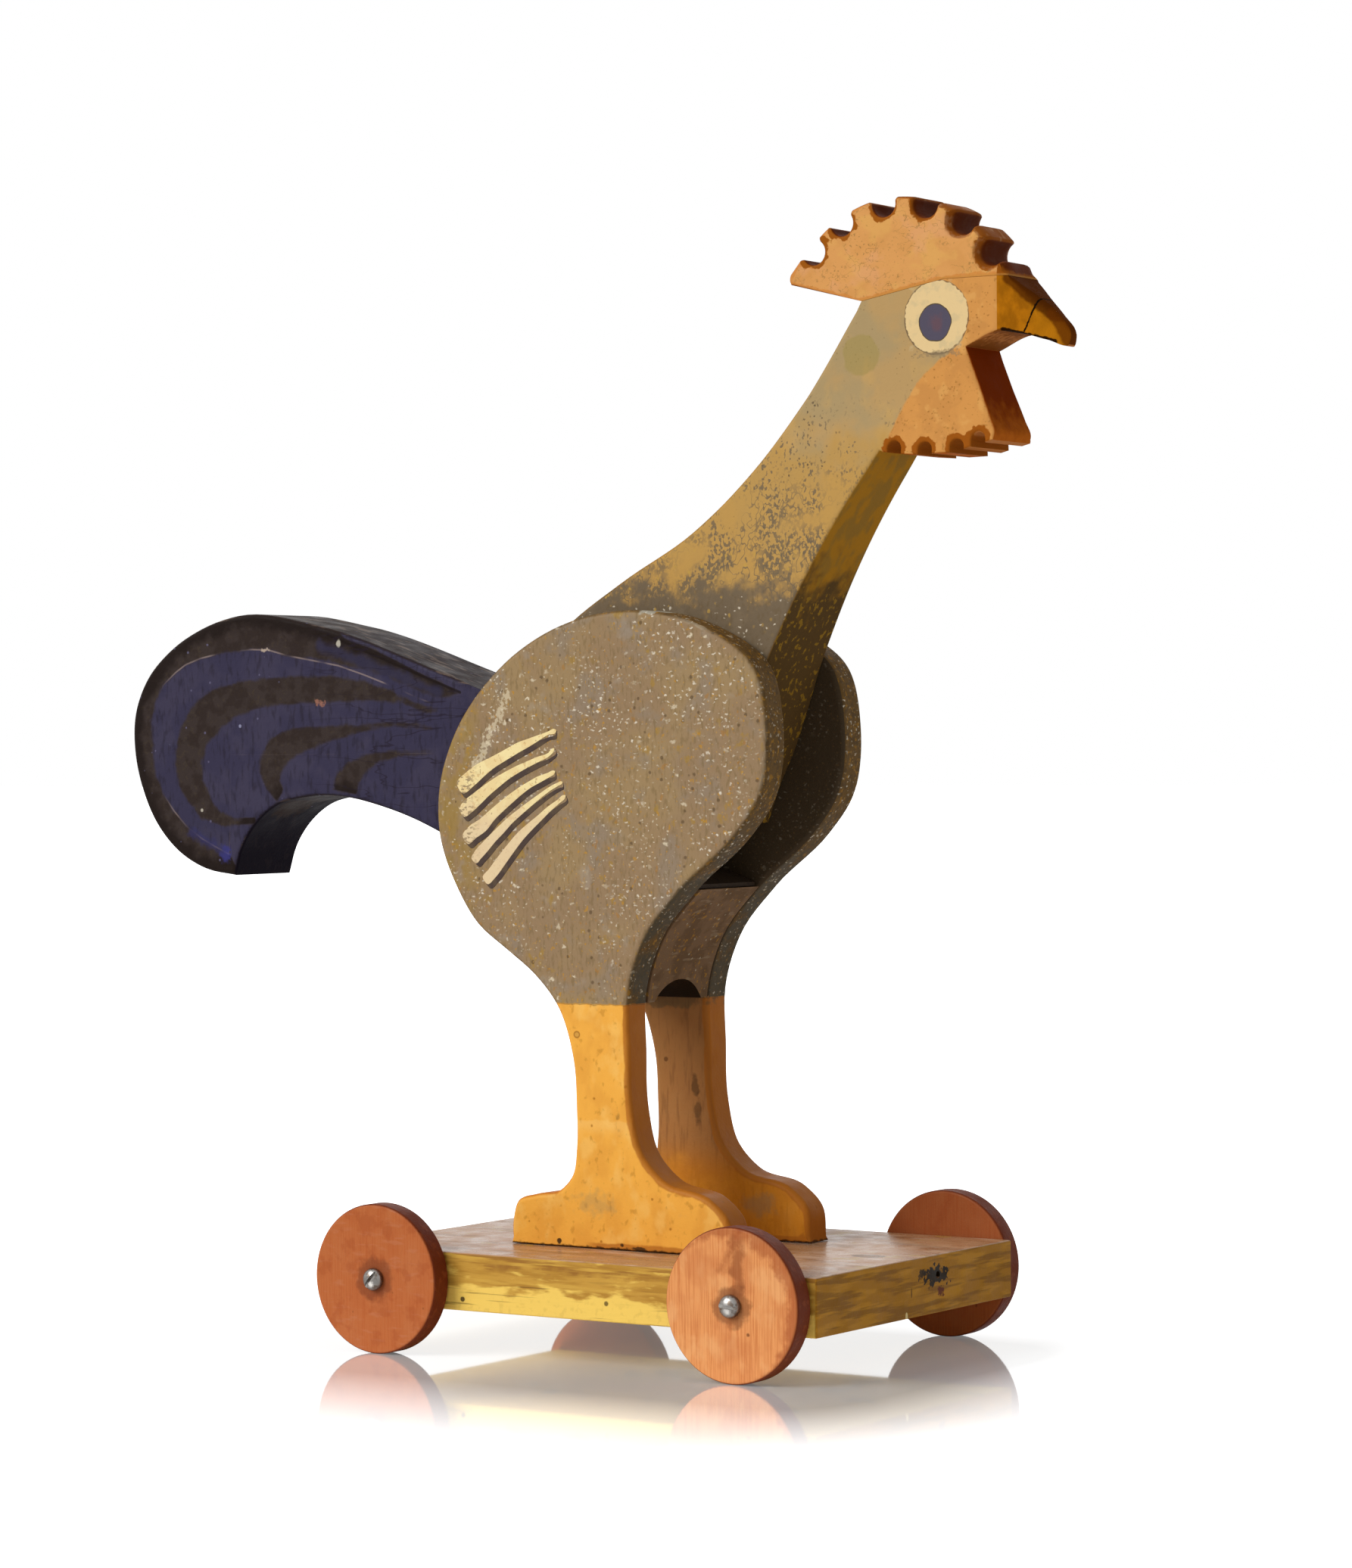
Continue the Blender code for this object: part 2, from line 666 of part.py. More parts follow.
def make_comb(material, *cutters):
    """Fan of a comb with half-round notches, on a seat cut to the top of the head."""
    cx, ch = COMB_CENTRE
    seat = [(x, height + SEAT) for x, height in HEAD_TOP]
    points = list(COMB_REAR_POINTS)
    rim = math.degrees(math.asin(COMB_NOTCH_RADIUS / COMB_RADIUS))
    floor = COMB_RADIUS - COMB_NOTCH_DEPTH + COMB_NOTCH_RADIUS
    for angle in COMB_NOTCH_ANGLES:
        turn = math.radians(angle)
        if angle != COMB_NOTCH_ANGLES[0]:
            points.append(on_circle(COMB_RADIUS, angle + rim))
        nx, nh = cx + floor * math.cos(turn), ch + floor * math.sin(turn)
        for k in range(NOTCH_FACETS + 1):
            swing = turn + math.pi / 2 + math.pi * k / NOTCH_FACETS
            reach = COMB_NOTCH_RADIUS
            points.append((nx + reach * math.cos(swing), nh + reach * math.sin(swing)))
        points.append(on_circle(COMB_RADIUS, angle - rim))
        if angle != COMB_NOTCH_ANGLES[-1]:
            following = COMB_NOTCH_ANGLES[COMB_NOTCH_ANGLES.index(angle) + 1]
            points.append(on_circle(COMB_RADIUS, (angle + following) / 2))
    points.append(on_circle(COMB_RADIUS, COMB_FRONT_ANGLE))
    insets, drops = zip(*(comb_arris(x, height) for x, height in points))
    fine = [SEAM_ARRIS] * len(seat)
    insets, drops = [*insets, *fine], [*drops, *fine]
    piece = board("comb", points + seat[::-1], HEAD_THICKNESS, insets, material, drops=drops)
    taper(piece, 0, BEAK_START, BEAK_TIP_X, BEAK_TIP_SHARE)
    cut(piece, *cutters)


def on_circle(radius, degrees):
    turn = math.radians(degrees)
    return (COMB_CENTRE[0] + radius * math.cos(turn), COMB_CENTRE[1] + radius * math.sin(turn))


def make_tail(material, *cutters):
    """Tail board, sharp-edged where it is held in the body and thinner towards its hook."""
    points = outline_through(TAIL_KNOTS)
    arris = [SEAT if x > TAIL_TAPER[0] else CENTRE_ARRIS for x, h in points]
    piece = board("tail", points, CENTRE_THICKNESS, arris, material)
    taper(piece, 0, *TAIL_TAPER, TAIL_END_THICKNESS / CENTRE_THICKNESS)
    cut(piece, *cutters)


def cross_dowels(material):
    """Dowels that pin the middle boards between the sides, and the cutter for their holes."""
    reach = BODY_GAP / 2 + DOWEL_DEPTH
    groups = (("neck", NECK_DOWELS), ("tail", TAIL_DOWELS), ("spacer", SPACER_DOWELS))
    holes = []
    for board_name, places in groups:
        for rank, (x, h) in zip(("rear", "front"), sorted(places)):
            place = along_y(x, 0.0, h + PLANK_TOP_Z, 1)
            rod = rod_profile(DOWEL_DIAMETER / 2, SEAT - reach, reach - SEAT)
            turned(f"{board_name}_dowel_{rank}", rod, DOWEL_FACETS, place, material)
            hole = rod_profile(DOWEL_DIAMETER / 2 + SEAT, -reach, reach)
            holes.append(turned("hole", hole, DOWEL_FACETS, place))
    return joined_cutter("dowel_holes", holes)


def comb_dowels(material):
    """Two upright dowels across the seat of the comb, and the cutter for their holes."""
    holes = []
    for rank, x in zip(("rear", "front"), COMB_DOWEL_XS):
        (x0, h0), (x1, h1) = HEAD_TOP[:2] if x < HEAD_TOP[1][0] else HEAD_TOP[1:]
        seat = h0 + (h1 - h0) * (x - x0) / (x1 - x0) + PLANK_TOP_Z
        rod = rod_profile(COMB_DOWEL_DIAMETER / 2, SEAT - COMB_DOWEL_DEPTH, COMB_DOWEL_DEPTH - SEAT)
        turned(f"comb_dowel_{rank}", rod, DOWEL_FACETS, upright(x, 0.0, seat), material)
        hole = rod_profile(COMB_DOWEL_DIAMETER / 2 + SEAT, -COMB_DOWEL_DEPTH, COMB_DOWEL_DEPTH)
        holes.append(turned("hole", hole, DOWEL_FACETS, upright(x, 0.0, seat)))
    return joined_cutter("comb_dowel_holes", holes)


def main():
    clear_scene()
    yellow = paint("yellow_plank_paint", (0.42, 0.33, 0.08), 0.55)
    stained = paint("stained_wheel_wood", (0.42, 0.13, 0.045), 0.6)
    steel = paint("screw_steel", (0.42, 0.40, 0.37), 0.35, 1.0)
    birch = paint("birch_dowel", (0.62, 0.47, 0.30), 0.7)
    grey = paint("grey_body_paint", (0.25, 0.19, 0.12), 0.6)
    olive = paint("olive_neck_paint", (0.40, 0.31, 0.15), 0.6)
    salmon = paint("salmon_comb_paint", (0.68, 0.32, 0.13), 0.55)
    blue = paint("blue_tail_paint", (0.045, 0.04, 0.11), 0.5)
    taupe = paint("taupe_spacer_paint", (0.20, 0.15, 0.10), 0.6)

    crossing = cross_dowels(birch)
    standing = comb_dowels(birch)
    feet = foot_bores()
    make_plank(yellow, axle_bores(), feet)
    make_wheels(stained)
    make_axle_screws(steel)
    make_foot_screws(steel)
    make_side_boards(grey, crossing, feet)
    make_spacer(taupe, crossing)
    make_neck_and_head(olive, crossing, standing)
    make_comb(salmon, standing)
    make_tail(blue, crossing)


main()
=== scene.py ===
"""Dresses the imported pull-along rooster: finer sawn boards, turned wheels, screws and old paint.

Sizes are in millimetres and become metres where a mesh or a light is made. The toy faces +X and
stands on Z = 0. Outlines are drawn side on, as X and the height above the top of the plank.
"""

import logging
import math
from collections.abc import Callable, Sequence
from dataclasses import dataclass
from enum import Enum

import bpy
import numpy as np
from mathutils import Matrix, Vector, noise
from mathutils.geometry import interpolate_bezier


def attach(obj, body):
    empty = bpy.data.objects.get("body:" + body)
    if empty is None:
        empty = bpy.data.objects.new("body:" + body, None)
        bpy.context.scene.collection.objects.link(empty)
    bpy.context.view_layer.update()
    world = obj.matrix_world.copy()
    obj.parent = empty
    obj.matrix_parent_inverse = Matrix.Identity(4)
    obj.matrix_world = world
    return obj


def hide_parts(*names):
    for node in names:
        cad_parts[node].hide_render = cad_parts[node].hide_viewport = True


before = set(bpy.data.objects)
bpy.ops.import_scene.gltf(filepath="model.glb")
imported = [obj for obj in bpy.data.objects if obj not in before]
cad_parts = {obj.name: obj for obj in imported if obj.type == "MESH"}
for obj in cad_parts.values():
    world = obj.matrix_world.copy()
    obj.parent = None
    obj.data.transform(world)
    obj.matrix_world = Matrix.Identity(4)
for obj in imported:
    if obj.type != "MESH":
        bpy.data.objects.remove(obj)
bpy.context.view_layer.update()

MM = 0.001

log = logging.getLogger("rooster")

Point = tuple[float, float]
Triple = tuple[float, float, float]
Piece = bpy.types.Object
Socket = bpy.types.NodeSocket

CORNER = True
PLANK_TOP = 41.5
SEAT = 0.3
FRONT_AXLE_X = 122.2
REAR_AXLE_X = -47.9
AXLE_Z = 30.0
# The beak thins evenly from its start to a share of the head's thickness at its tip
BEAK_START = 200.0
BEAK_TIP = 226.1
TIP_SHARE = 0.17
# An arris varies by this share of its width, over patches of this size
WEAR_SHARE = 0.14
WEAR_SIZE = 16.0
# Limits for an outline drawn inwards: its sharpest mitre, and how close to its depth is sound
LEAST_SPREAD = 0.35
SOUND_SHARE = 0.985
SOUND_SLACK = 0.002
UNFOLD_PASSES = 60

# Round body, leg and foot, clockwise from the back of the heel
SIDE_KNOTS = (
    (-15.1, SEAT, CORNER), (-15.1, 10.0), (-12.4, 17.6), (-3.5, 20.6), (8.5, 23.0), (14.1, 28.6),
    (16.3, 40.0), (16.5, 56.0), (14.9, 76.0), (8.3, 95.5), (-3.2, 108.8), (-17.7, 119.2),
    (-31.7, 129.2), (-43.2, 145.5), (-50.7, 164.5), (-51.3, 183.0), (-42.7, 207.5), (-21.0, 232.8),
    (6.0, 248.6), (39.5, 255.5), (79.0, 248.5), (102.8, 232.6), (108.7, 207.2), (104.7, 180.3),
    (93.5, 165.5), (68.0, 144.0), (50.0, 123.0), (42.7, 101.5), (42.8, 80.0), (43.9, 55.0),
    (49.0, 38.0), (59.0, 28.5), (80.5, 22.3), (89.1, 14.3), (90.8, SEAT, CORNER),
)
# Back of the neck, up to the seat of the comb
NECK_BACK_KNOTS = (
    (-14.0, 170.0, CORNER), (-14.0, 235.0, CORNER), (1.0, 249.4), (27.7, 267.0), (61.8, 286.3),
    (90.0, 310.2), (112.5, 336.2), (139.5, 374.2, CORNER),
)
HEAD_TOP = ((139.5, 374.2), (176.5, 380.6), (204.0, 380.4))
COMB_REAR_POINTS = ((106.9, 382.6), (105.7, 385.4), (112.2, 393.0))
BEAK_KNOTS = (
    (204.0, 380.4, CORNER), (212.0, 373.6), (220.9, 365.4), (226.1, 357.4), (225.1, 353.3),
    (217.7, 355.4), (201.0, 359.4), (186.3, 353.9, CORNER),
)
WATTLE_FRONT_KNOTS = (
    (186.3, 353.9, CORNER), (191.4, 341.0), (197.3, 326.2), (199.4, 320.4), (198.7, 317.6),
)
WATTLE_EDGE = ((198.7, 317.6), (181.8, 313.6), (162.5, 313.2), (148.1, 315.2))
BREAST_KNOTS = (
    (148.1, 315.2, CORNER), (129.9, 289.6), (111.1, 257.6), (100.7, 236.5), (85.1, 197.0),
    (80.3, 187.4), (73.4, 170.0, CORNER),
)
# Tail, from the tongue on the spacer round the hook and back under the neck
TAIL_KNOTS = (
    (65.9, 144.3, CORNER), (-27.0, 144.3, CORNER), (-49.7, 160.0), (-68.7, 169.1), (-91.7, 176.6),
    (-113.7, 180.9), (-132.7, 180.8), (-149.5, 177.0), (-160.7, 169.1), (-168.1, 159.2),
    (-172.2, 147.2, CORNER), (-188.7, 149.8), (-203.7, 157.2), (-214.7, 167.6), (-223.1, 182.5),
    (-227.7, 199.0), (-227.3, 217.4), (-220.5, 231.8), (-208.2, 243.4), (-190.0, 253.0),
    (-169.7, 258.2), (-126.5, 253.2), (-63.7, 233.5), (-14.3, 216.0, CORNER),
    (-14.3, 169.7, CORNER), (1.5, 169.7, CORNER), (65.9, 145.9, CORNER),
)

# Where the salmon paint of the face and wattle meets the olive of the neck
SALMON_LINE = (
    (173.0, 392.0), (173.0, 381.0), (176.0, 366.0), (179.2, 351.8), (174.8, 349.7), (170.7, 346.4),
    (166.7, 343.1), (163.4, 339.8), (160.2, 335.0), (157.7, 331.6), (155.3, 326.2), (152.8, 322.1),
    (150.5, 317.0), (146.0, 309.0), (240.0, 300.0), (240.0, 392.0),
)
# Dark brown hooks brushed on the blue tail, each a closed line
TAIL_BANDS = (
    (
        (-171.5, 151.0), (-174.5, 156.0), (-181.8, 159.0), (-190.0, 162.8), (-198.6, 168.2),
        (-205.5, 174.7), (-211.6, 182.3), (-215.8, 191.0), (-217.3, 201.0), (-217.8, 213.0),
        (-215.7, 221.7), (-210.7, 229.3), (-203.8, 234.5), (-198.3, 237.7), (-190.0, 240.3),
        (-175.7, 242.8), (-161.8, 243.6), (-152.3, 243.2), (-141.4, 240.6), (-118.0, 238.0),
        (-103.5, 235.0), (-87.7, 230.9), (-74.6, 226.0), (-61.6, 221.6), (-50.0, 224.0),
        (-55.0, 226.0), (-68.0, 231.0), (-82.0, 237.0), (-97.0, 243.0), (-110.0, 247.0),
        (-131.0, 262.0), (-200.0, 270.0), (-240.0, 230.0), (-240.0, 180.0), (-200.0, 145.0),
        (-172.0, 140.0),
    ),
    (
        (-160.4, 169.5), (-178.5, 168.3), (-190.0, 171.6), (-197.0, 178.0), (-202.5, 185.7),
        (-204.6, 194.5), (-203.2, 204.3), (-199.8, 213.0), (-192.8, 221.6), (-182.8, 226.8),
        (-168.7, 229.7), (-155.0, 231.2), (-134.5, 231.8), (-114.3, 231.2), (-101.0, 229.0),
        (-87.7, 225.6), (-74.6, 220.2), (-61.6, 216.9), (-68.0, 215.9), (-81.2, 220.2),
        (-101.0, 221.5), (-121.0, 220.7), (-148.2, 219.9), (-161.8, 217.9), (-171.5, 214.7),
        (-180.0, 209.4), (-187.2, 203.0), (-190.0, 194.3), (-188.7, 186.8), (-184.4, 179.0),
        (-178.7, 173.7), (-171.5, 171.5), (-160.4, 172.0),
    ),
    (
        (-148.2, 179.0), (-153.8, 184.0), (-157.5, 191.0), (-156.5, 198.7), (-152.3, 204.2),
        (-145.5, 208.5), (-134.5, 210.3), (-121.0, 210.5), (-101.0, 210.9), (-87.7, 212.0),
        (-74.6, 211.2), (-60.0, 208.0), (-70.7, 209.6), (-83.8, 210.5), (-97.0, 209.2),
        (-110.4, 206.0), (-121.0, 203.8), (-131.8, 200.5), (-140.0, 197.4), (-144.8, 193.2),
        (-146.9, 187.8), (-144.8, 183.4),
    ),
    (
        (-117.7, 184.0), (-115.7, 190.0), (-110.4, 195.0), (-102.3, 198.0), (-94.4, 199.2),
        (-81.2, 200.0), (-61.6, 199.2), (-81.2, 198.0), (-93.0, 195.8), (-99.7, 191.8),
        (-103.7, 186.6), (-105.0, 181.9),
    ),
)
# Thin pale scratch that follows the inside of the outer band
TAIL_SCRATCH = (
    *TAIL_BANDS[0][1:19], (-127.7, 238.3), (-114.3, 236.0), (-101.0, 232.1), (-87.7, 227.7),
    (-74.6, 222.8), (-61.6, 218.5), (-51.0, 217.0),
)
# Wing feathers: middle of each stroke as X and height, and half its width
FEATHER_STROKES = (
    (
        (-39.5, 184.5, 2.5), (-34.0, 188.5, 3.4), (-28.2, 192.3, 3.0), (-23.4, 194.8, 2.4),
        (-18.7, 197.0, 2.2), (-14.0, 199.2, 2.1), (-9.2, 201.4, 2.0), (-4.5, 203.1, 1.6),
        (0.0, 204.9, 1.15), (5.0, 206.8, 0.7), (8.1, 207.6, 0.9),
    ),
    (
        (-38.5, 174.6, 2.2), (-35.5, 177.0, 3.0), (-31.0, 180.2, 2.9), (-26.0, 183.7, 2.5),
        (-21.0, 186.8, 2.2), (-16.0, 189.6, 1.8), (-10.0, 192.4, 1.5), (-4.5, 194.6, 1.25),
        (0.0, 196.3, 1.1), (5.0, 198.1, 0.75), (7.5, 200.3, 0.5),
    ),
    (
        (-36.8, 163.5, 2.2), (-33.0, 166.8, 3.0), (-28.2, 169.5, 2.9), (-23.4, 173.6, 2.3),
        (-18.7, 177.1, 2.1), (-14.0, 180.3, 1.9), (-9.2, 183.4, 1.65), (-4.5, 186.0, 1.4),
        (0.1, 188.1, 1.4), (4.9, 189.9, 1.0), (7.6, 191.1, 0.7),
    ),
    (
        (-32.6, 155.0, 1.6), (-30.5, 157.5, 2.2), (-27.0, 160.7, 2.2), (-23.4, 164.0, 2.0),
        (-18.7, 167.9, 1.9), (-14.0, 171.8, 1.6), (-9.2, 175.1, 1.4), (-4.5, 178.2, 1.2),
        (0.1, 181.1, 1.0), (4.9, 184.0, 0.85), (9.5, 186.2, 0.7), (11.4, 186.9, 0.5),
    ),
    (
        (-27.0, 147.0, 1.9), (-23.5, 150.0, 2.4), (-18.5, 155.5, 2.4), (-13.4, 161.0, 2.2),
        (-9.2, 165.2, 2.0), (-4.5, 169.0, 1.7), (0.1, 172.4, 1.4), (4.9, 176.1, 1.2),
        (9.5, 179.1, 0.9), (12.8, 181.4, 0.6),
    ),
)


class Hand(Enum):
    """Which side of the toy a piece is on, seen from behind it."""

    RIGHT = -1
    LEFT = 1


class End(Enum):
    """Which axle a wheel turns on."""

    FRONT = "front"
    REAR = "rear"


class Pattern(Enum):
    """How the mask of a layer of colour is made."""

    ALL = "all over"
    MOTTLE = "noise"
    VEINS = "thin wandering lines"
    FLECKS = "scattered spots"
    SPOT = "one oval place"
    LINE = "one straight line"
    AREA = "a distance kept on the mesh"
    EDGE = "where a distance kept on the mesh is nought"
    FACING = "turned to one direction"


ALL, MOTTLE, VEINS, FLECKS, SPOT, LINE, AREA, EDGE, FACING = Pattern
SMOOTH = {"interpolation_type": "SMOOTHSTEP"}


def linear(colour: str) -> tuple[float, float, float, float]:
    """Turns an sRGB hex colour to a linear one.

    Args:
        colour: Six hex digits, with or without a leading #.

    Returns:
        Red, green, blue and an alpha of 1.
    """
    digits = colour.lstrip("#")
    parts = [int(digits[i : i + 2], 16) / 255 for i in (0, 2, 4)]
    return (*((p / 12.92 if p <= 0.04045 else ((p + 0.055) / 1.055) ** 2.4) for p in parts), 1.0)


def evenly(size: float | Triple) -> Triple:
    """Gives three sizes as they are, and one size for all three axes."""
    return size if isinstance(size, tuple) else (size, size, size)


@dataclass(frozen=True)
class Ramp:
    """Limits a layer along one axis: nothing at `start`, full at `end`, in mm."""

    axis: str
    start: float
    end: float


@dataclass(frozen=True)
class Layer:
    """One colour laid over what is below it, where its mask is strong.

    size is the scale of the pattern in mm, one or along X, Y and Z. low and high are the values
    between which the mask rises. centre is the middle of a spot, the start of a line or the
    direction faced, and end the end of a line. fray moves an edge by that many mm, over
    fray_size mm. lift adds up to lift_by to the pattern along one axis, so that it thickens
    there. clusters gathers it in patches of that many mm, and walls keeps it off board faces.
    """

    colour: str
    pattern: Pattern = MOTTLE
    size: float | Triple = 10.0
    low: float = 0.45
    high: float = 0.6
    amount: float = 1.0
    centre: Triple = (0.0, 0.0, 0.0)
    end: Triple = (0.0, 0.0, 0.0)
    area: str = ""
    share: float = 1.0
    fray: float = 0.0
    fray_size: float = 4.0
    ramps: tuple[Ramp, ...] = ()
    lift: Ramp | None = None
    lift_by: float = 0.15
    clusters: float = 0.0
    walls: bool = False
    within: str = ""
    rough: float | None = None
    seed: float = 0.0
    detail: float = 3.0


@dataclass(frozen=True)
class Relief:
    """Fine unevenness of a surface: how big its lumps are and how high, in mm."""

    size: float | Triple
    height: float
    detail: float = 2.0


class Surface:
    """A material while it is being built, with the one method that adds a node to it."""

    def __init__(self, name: str) -> None:
        """Starts an empty material of that name."""
        self.material = bpy.data.materials.new(name)
        self.material.use_nodes = True
        self.tree = self.material.node_tree
        self.shader = self.tree.nodes["Principled BSDF"]

    def add(self, kind: str, settings: dict | str | None = None, inputs: dict | None = None) -> bpy.types.Node:
        """Adds one node.

        Args:
            kind: The node's type, without its ShaderNode prefix.
            settings: Attributes to set on the node, or only its operation.
            inputs: Values or sockets for its inputs, by name or number.

        Returns:
            The new node.
        """
        node = self.tree.nodes.new("ShaderNode" + kind)
        if isinstance(settings, str):
            settings = {"operation": settings}
        for key, value in (settings or {}).items():
            setattr(node, key, value)
        for key, value in (inputs or {}).items():
            if isinstance(value, Socket):
                self.tree.links.new(value, node.inputs[key])
            else:
                node.inputs[key].default_value = value
        return node


@dataclass(frozen=True)
class Finish:
    """A paint or bare surface: a base colour, the layers over it, its gloss and its relief."""

    name: str
    base: str
    layers: tuple[Layer, ...] = ()
    rough: float = 0.55
    rough_swing: float = 0.12
    relief: tuple[Relief, ...] = ()
    specular: float = 0.2
    metallic: float = 0.0

    def material(self) -> bpy.types.Material:
        """Builds the material.

        Returns:
            The material, ready to be given to a piece.
        """
        surface = Surface(self.name)
        coords = surface.add("TexCoord")
        place = surface.add(
            "VectorMath", "SCALE", {0: coords.outputs["Object"], "Scale": 1 / MM}
        ).outputs[0]
        split = surface.add("SeparateXYZ", inputs={0: place})
        normal = coords.outputs["Normal"]
        colour = linear(self.base)
        rough: object = self.rough
        height: object = None
        for layer in self.layers:
            mask = self.mask(surface, layer, place, split, normal)
            colour = surface.add(
                "Mix", {"data_type": "RGBA"}, {0: mask, 6: colour, 7: linear(layer.colour)}
            ).outputs[2]
            if layer.rough is not None:
                rough = surface.add("Mix", inputs={0: mask, 2: rough, 3: layer.rough}).outputs[0]
        for relief in self.relief:
            lumps = self.lumps(surface, place, relief)
            height = lumps if height is None else surface.add("Math", inputs={0: height, 1: lumps}).outputs[0]
        swing = surface.add(
            "TexNoise", inputs={"Vector": place, "Scale": 1 / 9.0, "Detail": 4.0}
        ).outputs["Fac"]
        rough = self.swung(surface, rough, swing)
        shader = surface.shader
        if isinstance(colour, tuple):
            shader.inputs["Base Color"].default_value = colour
        else:
            surface.tree.links.new(colour, shader.inputs["Base Color"])
        surface.tree.links.new(rough, shader.inputs["Roughness"])
        if height is not None:
            bump = surface.add("Bump", inputs={"Height": height, "Distance": MM, "Strength": 1.0})
            surface.tree.links.new(bump.outputs[0], shader.inputs["Normal"])
        shader.inputs["Metallic"].default_value = self.metallic
        shader.inputs["Specular IOR Level"].default_value = self.specular
        surface.material.diffuse_color = linear(self.base)
        return surface.material

    def swung(self, surface: Surface, rough: object, swing: Socket) -> Socket:
        """Lets the roughness wander a little over the surface."""
        spread = surface.add(
            "MapRange", inputs={"Value": swing, 1: 0.3, 2: 0.7, 3: -self.rough_swing, 4: self.rough_swing}
        )
        return surface.add("Math", {"use_clamp": True}, {0: rough, 1: spread.outputs[0]}).outputs[0]

    def lumps(self, surface: Surface, place: Socket, relief: Relief) -> Socket:
        """Adds one relief as a height in mm.

        Args:
            surface: The material being built.
            place: The place in mm.
            relief: What to add.

        Returns:
            The height.
        """
        stretched = surface.add("VectorMath", "DIVIDE", {0: place, 1: evenly(relief.size)}).outputs[0]
        grain = surface.add("TexNoise", inputs={"Vector": stretched, "Scale": 1.0, "Detail": relief.detail})
        return surface.add(
            "Math", "MULTIPLY", {0: grain.outputs["Fac"], 1: relief.height}
        ).outputs[0]

    def mask(
        self,
        surface: Surface,
        layer: Layer,
        place: Socket,
        split: bpy.types.Node,
        normal: Socket,
    ) -> Socket:
        """Works out where a layer shows.

        Args:
            surface: The material being built.
            layer: The layer.
            place: The place in mm.
            split: The place as separate X, Y and Z.
            normal: The direction the surface faces.

        Returns:
            A factor from 0 to 1.
        """
        shifted = surface.add(
            "VectorMath", "ADD", {0: place, 1: (layer.seed, layer.seed * 0.7, -layer.seed)}
        ).outputs[0]
        size = evenly(layer.size)
        fray = 0.0
        if layer.fray:
            ragged = surface.add(
                "TexNoise", inputs={"Vector": shifted, "Scale": 1 / layer.fray_size, "Detail": 3.0}
            )
            fray = surface.add(
                "MapRange", {"clamp": False},
                {"Value": ragged.outputs["Fac"], 1: 0.35, 2: 0.65, 3: -layer.fray, 4: layer.fray},
            ).outputs[0]
        if layer.pattern is ALL:
            value = 1.0
        elif layer.pattern in (MOTTLE, VEINS):
            stretched = surface.add("VectorMath", "DIVIDE", {0: shifted, 1: size}).outputs[0]
            value = surface.add(
                "TexNoise", inputs={"Vector": stretched, "Scale": 1.0, "Detail": layer.detail}
            ).outputs["Fac"]
            if layer.pattern is VEINS:
                off = surface.add("Math", "SUBTRACT", {0: value, 1: 0.5}).outputs[0]
                apart = surface.add("Math", "ABSOLUTE", {0: off}).outputs[0]
                value = surface.add("Math", "SUBTRACT", {0: 0.5, 1: apart}).outputs[0]
        elif layer.pattern is FLECKS:
            wander = surface.add("TexNoise", inputs={"Vector": shifted, "Scale": 0.5, "Detail": 2.0})
            bent = surface.add(
                "VectorMath", "MULTIPLY_ADD",
                {0: wander.outputs["Color"], 1: (layer.fray,) * 3, 2: shifted},
            ).outputs[0]
            stretched = surface.add("VectorMath", "DIVIDE", {0: bent, 1: size}).outputs[0]
            cells = surface.add("TexVoronoi", inputs={"Vector": stretched, "Scale": 1.0})
            chosen = surface.add(
                "Math", "LESS_THAN", {0: cells.outputs["Color"], 1: layer.share}
            ).outputs[0]
            near = surface.add(
                "MapRange", SMOOTH,
                {"Value": cells.outputs["Distance"], 1: layer.high, 2: layer.low, 3: 0.0, 4: 1.0},
            ).outputs[0]
            value = surface.add("Math", "MULTIPLY", {0: near, 1: chosen}).outputs[0]
        elif layer.pattern is SPOT:
            apart = surface.add("VectorMath", "SUBTRACT", {0: place, 1: layer.centre}).outputs[0]
            shares = surface.add("VectorMath", "DIVIDE", {0: apart, 1: size}).outputs[0]
            reach = surface.add("VectorMath", "LENGTH", {0: shares}).outputs["Value"]
            inward = surface.add("Math", "SUBTRACT", {0: 1.0, 1: reach}).outputs[0]
            scale = surface.add("Math", "MULTIPLY", {0: inward, 1: min(size[0], size[2])}).outputs[0]
            value = surface.add("Math", inputs={0: scale, 1: fray}).outputs[0]
        elif layer.pattern is LINE:
            way = Vector(layer.end) - Vector(layer.centre)
            from_start = surface.add("VectorMath", "SUBTRACT", {0: place, 1: layer.centre}).outputs[0]
            side_on = surface.add("VectorMath", "MULTIPLY", {0: from_start, 1: (1.0, 0.0, 1.0)}).outputs[0]
            along = surface.add(
                "VectorMath", "DOT_PRODUCT", {0: side_on, 1: way / way.length_squared}
            ).outputs["Value"]
            held = surface.add("Math", {"use_clamp": True}, {0: along, 1: 0.0}).outputs[0]
            foot = surface.add("VectorMath", "SCALE", {0: way, "Scale": held}).outputs[0]
            apart = surface.add("VectorMath", "DISTANCE", {0: side_on, 1: foot})
            value = surface.add("Math", "SUBTRACT", {0: fray, 1: apart.outputs["Value"]}).outputs[0]
        elif layer.pattern in (AREA, EDGE):
            kept = surface.add("Attribute", {"attribute_name": layer.area}).outputs["Fac"]
            value = surface.add("Math", inputs={0: kept, 1: fray}).outputs[0]
            if layer.pattern is EDGE:
                apart = surface.add("Math", "ABSOLUTE", {0: value}).outputs[0]
                value = surface.add("Math", "SUBTRACT", {0: 0.0, 1: apart}).outputs[0]
        else:
            value = surface.add("VectorMath", "DOT_PRODUCT", {0: normal, 1: layer.centre}).outputs["Value"]
        if layer.lift is not None:
